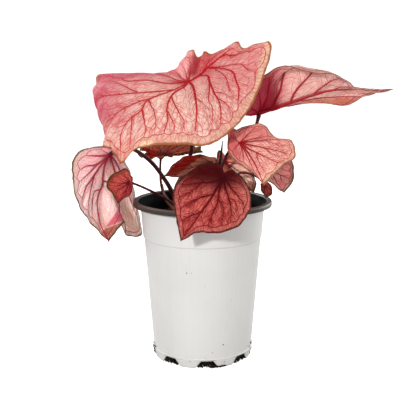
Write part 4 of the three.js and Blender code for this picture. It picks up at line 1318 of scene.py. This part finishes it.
# Angles round the pot, close together at the corners of the notches, and the angle from the nearest notch.
def notchAngles(corner=0.02):
    period = 2 * np.pi / pot["notches"]
    inner, outer = np.array([pot["notchTop"], pot["notchFoot"]]) / 2 / pot["footRadius"]
    stops = [-period / 2, -outer - corner, -outer, -inner, -inner + corner,
             inner - corner, inner, outer, outer + corner, period / 2]
    counts = [6, 1, 4, 1, 5, 1, 4, 1, 6]
    spans = zip(stops, stops[1:], counts)
    one = np.concatenate([np.linspace(start, end, count, endpoint=False) for start, end, count in spans])
    starts = math.radians(pot["firstNotch"]) + period * np.arange(pot["notches"])
    return (starts[:, None] + one[None]).ravel(), np.tile(one, pot["notches"]), inner, outer


# The wall's closed profile. Each row is radius, height, share of a notch's lift, and tone: 0 white, 0.5
# lip, 1 black.
def potProfile():
    top, crease, step, wall = pot["height"], pot["creaseHeight"], pot["stepHeight"], pot["wall"]
    rim, mouth, flare = pot["rimRadius"], pot["mouthRadius"], lipFoot - pot["flareDrop"]
    lip = [
        (bodyAt(flare) - wall, flare, 0, 1), (mouth - 2.3, top - 3.4, 0, 1), (mouth - 0.2, top - 1.5, 0, 1),
        (mouth + 0.1, top - 0.9, 0, 0.85), (mouth + 0.6, top - 0.4, 0, 0.5), (mouth + 1.3, top, 0, 0.4),
        (rim - 2.4, top, 0, 0.4), (rim - 1.1, top - 0.2, 0, 0.45), (rim - 0.35, top - 0.8, 0, 0.6),
        (rim, top - 1.7, 0, 0.75), (rim, lipFoot + 0.6, 0, 0.8), (rim - 0.15, lipFoot + 0.1, 0, 0.85),
        # from rim - 1.2 on, the rows run under the roll of the lip and back to the collar; their dark tones
        # are painted shade
        (rim - 0.6, lipFoot, 0, 0.9), (rim - 1.2, lipFoot + 0.15, 0, 1), (rim - 1.5, lipFoot + 1.0, 0, 1),
        (rim - 1.6, top - 2.4, 0, 1), (rim - 2.0, top - 2.0, 0, 1), (mouth + 1.8, top - 2.0, 0, 1),
        (mouth - 0.1, top - 3.5, 0, 0.9), (pot["collarRadius"] + 0.4, lipFoot + 0.5, 0, 0.6),
        (collarAt(lipFoot), lipFoot, 0, 0.3),
    ]
    collar = [(collarAt(z), z, 0, 0) for z in (lipFoot - 0.8, 150, 137, step + 0.9, step + 0.25)]
    edge = [(collarAt(step) - 0.15, step - 0.1, 0, 0), (bodyAt(step - 0.6) + 0.1, step - 0.7, 0, 0)]
    body = [(bodyAt(z), z, 0, 0) for z in (step - 1.3, *np.linspace(116, 16, 11), crease + 2, crease + 1.1)]
    groove = [(bodyAt(crease) + 0.3, crease + 0.7, 0, 0), (pot["creaseRadius"] - 0.15, crease + 0.25, 0, 0),
              (pot["creaseRadius"], crease - 0.1, 0, 0)]
    skirt = [(pot["footRadius"] + footSpread * share - tuck, crease * share, 1 - share, 0)
             for share, tuck in ((0.94, 0), (0.75, 0), (0.5, 0), (0.25, 0), (0.06, 0), (0, 0.25))]
    foot = pot["footRadius"] - wall
    inside = [(foot + 0.25, 0, 1, 1), (foot, 0.5, 0.95, 1), (foot + 0.6, 4, 0.55, 1)]
    inside += [(bodyAt(z) - wall, height, 0, 1) for z, height in
               ((crease, crease + 1), (50, 50), (100, 100), (140, 140), (150, 150))]
    return np.array([*lip, *collar, *edge, *body, *groove, *skirt, *inside], float)


# The profile carried round the axis. Rows below the crease are squeezed upwards where a notch is cut:
# height = own height + share x lift, with the lift a trapezium round each notch.
def makePot():
    angle, fromNotch, inner, outer = notchAngles()
    lift = pot["notchHeight"] * np.clip((outer - np.abs(fromNotch)) / (outer - inner), 0, 1)
    rows, columns = potProfile(), len(angle)
    wall = roundAxis(rows[:, 0, None], angle, rows[:, 1, None] + rows[:, 2, None] * lift).reshape(-1, 3)
    faces = gridFaces(len(rows), columns, around=True, turned=True)
    closing = gridFaces(2, columns, around=True, turned=True)
    closing = np.where(closing < columns, closing + len(wall) - columns, closing - columns)

    # the floor, cut back to `notchInner` at each notch
    floorEdge = pot["footRadius"] - pot["wall"] + pot["floorLap"]
    reach = np.where(np.abs(fromNotch) < outer, pot["notchInner"], floorEdge)
    plate = [roundAxis(reach * share, angle, height)
             for share, height in ((0.5, 0), (1, 0), (1, pot["floor"]), (0.5, pot["floor"]))]
    start = len(wall)
    ring, middle = start + np.arange(columns), start + 4 * columns
    plateFaces = [gridFaces(4, columns, start, around=True), fanFaces(middle, ring, turned=True),
                  fanFaces(middle + 1, ring + 3 * columns)]
    points = np.vstack([wall, *plate, [[0, 0, 0], [0, 0, pot["floor"]]]])
    tone = np.repeat([*rows[:, 3], 0.0, 0.0, 1.0, 1.0], columns)
    tone = np.concatenate([tone, [0.0, 1.0]])
    piece = makePiece("nurseryPot", points, [faces, closing, *plateFaces], potMaterial(),
                      kept={"tone": fourNumbers(tone)})

    # black inside, and black under the roll of the lip as painted shade
    piece.data.materials.append(insideAndShadeMaterial())
    dark = np.zeros(len(piece.data.polygons), np.int32)
    dark[:len(faces) + columns] = tone[np.vstack([faces, closing])].min(1) > pot["blackTone"]
    piece.data.polygons.foreach_set("material_index", dark)
    stand(piece, "pot", "pot")


# White plastic, a little cloudy and drawn round, with grey lines of painted shade at the step and the
# crease, dust and specks of soil, and the dark lip and painted shade under it where the tone says so.
def potMaterial():
    look = potFinish
    material, tree = newMaterial("nurseryPlastic")
    tone = keptOn(tree, "tone")[0]
    here = placeIn(tree)
    xyz = put(tree, "ShaderNodeSeparateXYZ", {0: here}).outputs
    angle = mathOf(tree, "ARCTAN2", xyz[1], xyz[0])
    cloud = mottled(tree, here, *look["cloud"])
    draws = patternOf(tree, streaks, across=angle, along=xyz[2], **look["draws"])
    colour = blendOf(tree, times(tree, cloud, look["cloudShare"]), paint(look["white"]), paint(look["shade"]))
    colour = blendOf(tree, times(tree, draws, look["drawShare"]), colour, paint(look["shade"]))
    # painted shade along the step and the crease
    for key, reach, share in look["shadedGrooves"]:
        off = mathOf(tree, "ABSOLUTE", scaled(tree, xyz[2], 1.0, -pot[key] / 1000))
        grooveShade = times(tree, rangeOf(tree, off, reach, 0.0), share)
        colour = blendOf(tree, grooveShade, colour, paint(look["grooveShade"]))
    low = rangeOf(tree, xyz[2], look["dustHeight"], 0.0)
    dust = times(tree, times(tree, low, mottled(tree, here, *look["dustPatch"])), look["dustShare"])
    colour = blendOf(tree, dust, colour, paint(look["dust"]))
    dots = put(tree, "ShaderNodeTexVoronoi", {"Vector": here, "Scale": look["speckScale"]}).outputs
    limit = scaled(tree, partsOf(tree, dots["Color"])[0], *look["speckSize"])
    dot = mathOf(tree, "LESS_THAN", dots["Distance"], limit)
    colour = blendOf(tree, times(tree, dot, look["speckShare"]), colour, paint(look["speck"]))
    # the lip and the black inside by tone, and painted shade under the roll of the lip
    dark = blendOf(tree, rangeOf(tree, tone, *look["blackFrom"]), paint(look["lip"]), paint(look["black"]))
    colour = blendOf(tree, rangeOf(tree, tone, *look["lipFrom"]), colour, dark)
    dull = rangeOf(tree, tone, *look["dullFrom"], 0.0, look["dull"])
    roughness = plus(tree, rangeOf(tree, cloud, 0.0, 1.0, *look["roughness"]), dull)
    relief = plus(tree, times(tree, mottled(tree, here, *look["fine"]), look["fineRelief"]), draws)
    cover(tree, skinOf(tree, colour, roughness, relief, depth=0.00012, strength=0.4, specular=0.3))
    return material


# Black plastic with smears of soil, laid inside the pot and, as painted shade, under the roll of the lip.
def insideAndShadeMaterial():
    material, tree = newMaterial("blackPlasticAndShade")
    patch = mottled(tree, placeIn(tree), *potFinish["soilPatch"])
    colour = blendOf(tree, patch, paint(potFinish["black"]), paint(potFinish["soiled"]))
    roughness = rangeOf(tree, patch, 0.0, 1.0, *potFinish["insideRoughness"])
    cover(tree, skinOf(tree, colour, roughness, patch, depth=0.0001, specular=0.03))
    return material


# The soil: a face with lumps and fine waves at `level`, and rough sides just inside the wall.
soil = {
    "level": 143, "foot": 1.9, "gap": 0.3, "footInset": 3.8,
    "relief": 1.4, "lumps": 0.85, "waves": 0.9, "waveLength": 14.0, "flatAtWall": (0.93, 1.0), "seed": 11,
    "sideWaves": 0.25, "sideWaveLength": 9.0, "sideSpan": 50, "sideSeed": 12, "crumbSeed": 21,
    "rings": 70, "segments": 180, "wallRings": 12, "footRings": 5,
    # dark potting mix, darkened further as painted shade under the leaves
    "look": {"dark": "0c0908", "light": "2a1e18", "scale": 300.0, "depth": 0.0008},
}


# Smooth noise: the mean of sine waves in seeded directions, with each finer octave lower than the last.
def waveNoise(x, y, rng, first, octaves=5, waves=7, finer=1.9, lower=1.45):
    total = np.zeros_like(x)
    for octave in range(octaves):
        turn = rng.uniform(0, 2 * np.pi, waves)
        phase = rng.uniform(0, 2 * np.pi, waves)
        rate = 2 * np.pi / (first / finer ** octave)
        along = x[..., None] * np.cos(turn) + y[..., None] * np.sin(turn)
        total = total + np.sin(rate * along + phase).sum(-1) / waves / lower ** octave
    return total


def soilRadius(z):
    return bodyAt(z) - pot["wall"] - soil["gap"]


# Height of the soil's face: level + relief (1 - share) + lumps x a product of sines + waves.
def soilTop(x, y):
    share = np.hypot(x, y) / soilRadius(soil["level"])
    angle = np.arctan2(y, x)
    lump = np.sin(3 * angle + 5 * share) * np.sin(2 * angle + 7 * share)
    lump = lump * np.sin(np.pi * np.clip(share, 0, 1))
    rise = soil["relief"] * (1 - share) + soil["lumps"] * lump
    waves = waveNoise(x, y, np.random.default_rng(soil["seed"]), soil["waveLength"])
    return soil["level"] + rise + soil["waves"] * waves * (1 - smooth(share, *soil["flatAtWall"]))


# Rings of the face out to the wall, then rings down the wall and in to the foot, closed at both poles.
def makeSoil():
    level, crease, foot = soil["level"], pot["creaseHeight"], soil["foot"]
    wallRadius, sideRadius = soilRadius(level), soilRadius(crease)
    footRadius = pot["footRadius"] - pot["wall"] - soil["footInset"]
    angle = np.linspace(0, 2 * np.pi, soil["segments"], endpoint=False)
    share = np.linspace(0, 1, soil["rings"] + 1)[1:, None]
    x, y = wallRadius * share * np.cos(angle), wallRadius * share * np.sin(angle)
    top = np.stack([x, y, soilTop(x, y)], -1)
    down = np.linspace(0, 1, soil["wallRings"])[1:]
    inward = np.linspace(0, 1, soil["footRings"])[1:]
    sideRadii = np.concatenate([wallRadius + (sideRadius - wallRadius) * down,
                                sideRadius + (footRadius - sideRadius) * inward])[:, None]
    height = np.concatenate([level + (crease - level) * down, crease + (foot - crease) * inward])[:, None]
    sideRng = np.random.default_rng(soil["sideSeed"])
    spread = np.broadcast_arrays(angle * soil["sideSpan"], height)
    rough = np.abs(waveNoise(*spread, sideRng, soil["sideWaveLength"]))
    wall = roundAxis(sideRadii - soil["sideWaves"] * rough, angle, height)
    grid = np.concatenate([top, wall])
    rows, columns = grid.shape[:2]
    ring, count = np.arange(columns), rows * columns
    points = np.vstack([grid.reshape(-1, 3), [[0, 0, level + soil["relief"]], [0, 0, foot]]])
    faces = [gridFaces(rows, columns, around=True, turned=True), fanFaces(count, ring),
             fanFaces(count + 1, (rows - 1) * columns + ring, turned=True)]
    stand(makePiece("soilBed", points, faces, soilMaterial("pottingMix", soil["look"])), "soil", "soil")


# Crumbs of bark all over the soil's face, and grains of perlite among them.
bark = {"count": 620, "inset": 5, "size": (0.7, 2.6), "spread": (0.6, 1.2), "lift": 0.2, "seed": 22,
        # the bark's own colours, darkened further as painted shade under the leaves
        "look": {"dark": "1a120e", "light": "4a3222", "scale": 420.0, "depth": 0.0004}}
perlite = {"count": 46, "size": (0.8, 1.5), "inward": 0.97, "lift": 1.1, "seed": 23,
           "look": {"dark": "b8b2a8", "light": "ece8e0", "scale": 500.0, "depth": 0.0003}}

# Soil at the pot's foot: crumbs that stick in the notches, some that have run out under the front, grains
# that cling low on the outside, most of them at the two sides, and single specks given by degrees from +X,
# height and size. A crumb lies `lift` times its size over the floor, and `tuck` times its size inside the
# notch.
notchSoil = {
    "count": 760, "size": (0.6, 2.0), "reach": 6.9, "out": (43.5, 49.6), "lift": 1.2,
    "runCount": 130, "runSize": (0.6, 1.4), "runTurn": (-82, -62), "runOut": (47.5, 51.5),
    "grainCount": 50, "grainSize": (0.4, 1.4), "grainTurn": 0.12, "grainSpread": 0.22,
    "grainHeight": (1.8, 14.0), "grainOut": 0.2, "tuck": 0.6, "seed": 24,
    "specks": [(-105.3, 99, 0.8), (-101, 99, 0.5), (-67, 24, 1.2), (-79, 16.5, 0.8), (-65, 5.5, 1.0),
               (-104, 7, 0.8), (-88, 86, 0.4), (-60, 70, 0.4)],
    "look": {"dark": "060403", "light": "34241a", "scale": 300.0, "depth": 0.0006},
}


# Crumbs: a twenty-sided ball for each, knocked out of shape, squashed and turned by a seeded choice.
def makeCrumbs(name, centres, sizes, material, seed, knocked=(0.75, 1.2), squashed=(0.45, 1.0)):
    rng = np.random.default_rng(seed)
    g = (1 + 5 ** 0.5) / 2  # the golden ratio
    ball = unit(np.array([(-1, g, 0), (1, g, 0), (-1, -g, 0), (1, -g, 0), (0, -1, g), (0, 1, g), (0, -1, -g),
                          (0, 1, -g), (g, 0, -1), (g, 0, 1), (-g, 0, -1), (-g, 0, 1)]))
    faces = np.array([(0, 11, 5), (0, 5, 1), (0, 1, 7), (0, 7, 10), (0, 10, 11), (1, 5, 9), (5, 11, 4),
                      (11, 10, 2), (10, 7, 6), (7, 1, 8), (3, 9, 4), (3, 4, 2), (3, 2, 6), (3, 6, 8),
                      (3, 8, 9), (4, 9, 5), (2, 4, 11), (6, 2, 10), (8, 6, 7), (9, 8, 1)])
    count = len(centres)
    shapes = ball[None] * rng.uniform(*knocked, (count, 12, 1)) * sizes[:, None, None]
    shapes = shapes * rng.uniform(*squashed, (count, 1, 3))
    w, x, y, z = unit(rng.normal(0, 1, (count, 4))).T
    turn = np.stack([1 - 2 * (y * y + z * z), 2 * (x * y - z * w), 2 * (x * z + y * w),
                     2 * (x * y + z * w), 1 - 2 * (x * x + z * z), 2 * (y * z - x * w),
                     2 * (x * z - y * w), 2 * (y * z + x * w), 1 - 2 * (x * x + y * y)], -1).reshape(-1, 3, 3)
    points = np.einsum("nij,nkj->nki", turn, shapes) + centres[:, None]
    each = (np.arange(count) * 12)[:, None, None]
    piece = makePiece(name, points.reshape(-1, 3), [(faces[None] + each).reshape(-1, 3)], material)
    stand(piece, "soil")


# Spread evenly over the soil's disc: radius = wall x square root of a seeded number.
def scatterOnSoil(rng):
    count = bark["count"]
    radius = (collarAt(soil["level"]) - bark["inset"]) * np.sqrt(rng.uniform(0, 1, count))
    angle = rng.uniform(0, 2 * np.pi, count)
    x, y = radius * np.cos(angle), radius * np.sin(angle)
    z = soilTop(x, y)
    sizes = rng.uniform(*bark["size"], count) * rng.uniform(*bark["spread"], count)
    centres = np.stack([x, y, z + bark["lift"] * sizes], 1)
    makeCrumbs("barkCrumbs", centres, sizes, soilMaterial("bark", bark["look"]), bark["seed"])
    pick = rng.permutation(count)[:perlite["count"]]
    inward = perlite["inward"]
    centres = np.stack([x[pick] * inward, y[pick] * inward, z[pick] + perlite["lift"]], 1)
    sizes = rng.uniform(*perlite["size"], len(pick))
    material = soilMaterial("perliteGrain", perlite["look"])
    makeCrumbs("perlite", centres, sizes, material, perlite["seed"])


# In a notch the height is reach x a seeded number squared, so that most crumbs lie low.
def scatterAtFoot(rng):
    count = notchSoil["count"]
    which = rng.integers(0, pot["notches"], count)
    sizes = [rng.uniform(*notchSoil["size"], count)]
    height = np.maximum(notchSoil["reach"] * rng.uniform(0, 1, count) ** 2, notchSoil["lift"] * sizes[0])
    half = (pot["notchFoot"] + (pot["notchTop"] - pot["notchFoot"]) * height / pot["notchHeight"]) / 2
    aside = rng.uniform(-1, 1, count) * (half - notchSoil["tuck"] * sizes[0]) / pot["footRadius"]
    turn = math.radians(pot["firstNotch"]) + 2 * np.pi / pot["notches"] * which + aside
    centres = [roundAxis(rng.uniform(*notchSoil["out"], count), turn, height)]

    count = notchSoil["runCount"]
    run = rng.uniform(*notchSoil["runSize"], count)
    turn = np.radians(rng.uniform(*notchSoil["runTurn"], count))
    centres.append(roundAxis(rng.uniform(*notchSoil["runOut"], count), turn, notchSoil["lift"] * run))
    sizes.append(run)

    count, aside = notchSoil["grainCount"], notchSoil["grainTurn"]
    turn = np.where(rng.uniform(0, 1, count) < 0.5, -aside, math.pi + aside)
    turn = turn + rng.normal(0, notchSoil["grainSpread"], count)
    height = rng.uniform(*notchSoil["grainHeight"], count)
    centres.append(roundAxis(wallAt(height) + notchSoil["grainOut"], turn, height))
    sizes.append(rng.uniform(*notchSoil["grainSize"], count))

    turn, height, size = np.array(notchSoil["specks"]).T
    centres.append(roundAxis(wallAt(height), np.radians(turn), height))
    sizes.append(size)
    material = soilMaterial("notchPeat", notchSoil["look"])
    makeCrumbs("notchSoil", np.vstack(centres), np.concatenate(sizes), material, notchSoil["seed"])


# Patterns of all soil, crumbs and cork: coarse patches, and fine ones at `finer` times their rate.
grit = {"coarse": (0.4, 0.7), "fine": (0.35, 0.7), "finer": 3.1, "shares": (0.6, 0.4),
        "roughness": (0.75, 0.95), "shine": 0.2}


# Two sizes of patches between a dark and a light colour, which also make the relief.
def soilMaterial(name, look):
    material, tree = newMaterial(name)
    here = placeIn(tree)
    coarse = mottled(tree, here, look["scale"], *grit["coarse"])
    fine = mottled(tree, here, look["scale"] * grit["finer"], *grit["fine"])
    mixed = plus(tree, times(tree, coarse, grit["shares"][0]), times(tree, fine, grit["shares"][1]))
    colour = blendOf(tree, mixed, paint(look["dark"]), paint(look["light"]))
    roughness = rangeOf(tree, fine, 0.0, 1.0, *grit["roughness"])
    cover(tree, skinOf(tree, colour, roughness, mixed, depth=look["depth"], specular=grit["shine"]))
    return material


# A white room: `soft` lights the plant from all sides, and `seen` and `floorGlow` keep the backdrop white.
room = {"soft": 0.24, "softColour": (1.0, 0.99, 0.98, 1.0), "seen": 1.05, "floorGlow": 1.0, "floorSize": 60,
        "floor": ((0.6, 0.6, 0.6, 1), (0.64, 0.64, 0.64, 1)), "patch": (30.0, 0.3, 0.7),
        "roughness": 0.8, "shine": 0.1}
white = (1.0, 1.0, 1.0, 1.0)


def makeFloor():
    bpy.ops.mesh.primitive_plane_add(size=room["floorSize"])
    floor = bpy.context.object
    floor.name = "floor"
    material, tree = newMaterial("paperFloor")
    paper = blendOf(tree, mottled(tree, placeIn(tree), *room["patch"]), *room["floor"])
    skin = skinOf(tree, paper, room["roughness"], specular=room["shine"])
    seen = put(tree, "ShaderNodeLightPath").outputs["Is Camera Ray"]
    strength = scaled(tree, seen, room["floorGlow"])
    glow = put(tree, "ShaderNodeEmission", {"Color": white, "Strength": strength})
    cover(tree, put(tree, "ShaderNodeAddShader", {0: skin.outputs[0], 1: glow.outputs[0]}))
    floor.data.materials.append(material)


# Square lights: where each stands and what it points at in metres, its width in metres and its power in
# watts.
lights = {
    "keyLight": {"place": (-0.58, -1.35, 0.68), "aim": (0.0, 0.0, 0.18), "size": 0.1, "power": 15.5},
    "fillLight": {"place": (0.9, -1.2, 0.2), "aim": (0.0, 0.0, 0.16), "size": 1.0, "power": 7},
    "topLight": {"place": (0.1, -0.2, 1.7), "aim": (0.0, 0.0, 0.2), "size": 1.3, "power": 6},
    "backLight": {"place": (-0.95, 0.95, 0.9), "aim": (0.0, 0.0, 0.2), "size": 1.0, "power": 20},
    "sideLight": {"place": (1.1, 0.75, 0.55), "aim": (0.0, 0.0, 0.2), "size": 1.0, "power": 14},
}


def makeLights():
    for name, light in lights.items():
        data = bpy.data.lights.new(name, "AREA")
        data.size = light["size"]
        data.energy = light["power"]
        lamp = bpy.data.objects.new(name, data)
        lamp.location = light["place"]
        away = unit(np.subtract(light["place"], light["aim"]))
        lamp.rotation_euler = (math.acos(away[2]), 0, math.atan2(away[1], away[0]) + math.pi / 2)
        bpy.context.scene.collection.objects.link(lamp)
    world = bpy.data.worlds.new("studio")
    world.use_nodes = True
    tree = world.node_tree
    tree.nodes.clear()
    onCamera = put(tree, "ShaderNodeLightPath").outputs["Is Camera Ray"]
    soft = put(tree, "ShaderNodeBackground", {"Color": room["softColour"], "Strength": room["soft"]})
    seen = put(tree, "ShaderNodeBackground", {"Color": white, "Strength": room["seen"]})
    mixed = put(tree, "ShaderNodeMixShader", {0: onCamera, 1: soft.outputs[0], 2: seen.outputs[0]})
    put(tree, "ShaderNodeOutputWorld", {"Surface": mixed.outputs[0]})
    bpy.context.scene.world = world
    bpy.context.scene.view_settings.view_transform = "Standard"


stemSkin = stemMaterial("petiole", stalk["look"])
makePot()
makeSoil()
crumbRng = np.random.default_rng(soil["crumbSeed"])
scatterOnSoil(crumbRng)
scatterAtFoot(crumbRng)
print("pot and soil built")

# the tuber keeps its CAD mesh and gets a bark
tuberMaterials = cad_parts["tuber"].data.materials
tuberMaterials.clear()
tuberMaterials.append(soilMaterial("tuberCork", tuber["look"]))
for node, shoot in shoots.items():
    makeShoot(node, shoot)
print("new leaf and old sheath built")

for seed, (name, leaf) in enumerate(leaves.items(), blade["seed"]):
    makeStem(name, leaf, stemSkin)
    title = "blade" + name.capitalize()
    piece = makeBlade(title, leaf, bladeMaterial(title, leaf["look"]), seed)
    stand(piece, leaf["look"]["slot"], "leaf_" + name)
    print("leaf built:", name, len(piece.data.polygons))
makeFloor()
makeLights()
print("floor and lights placed")
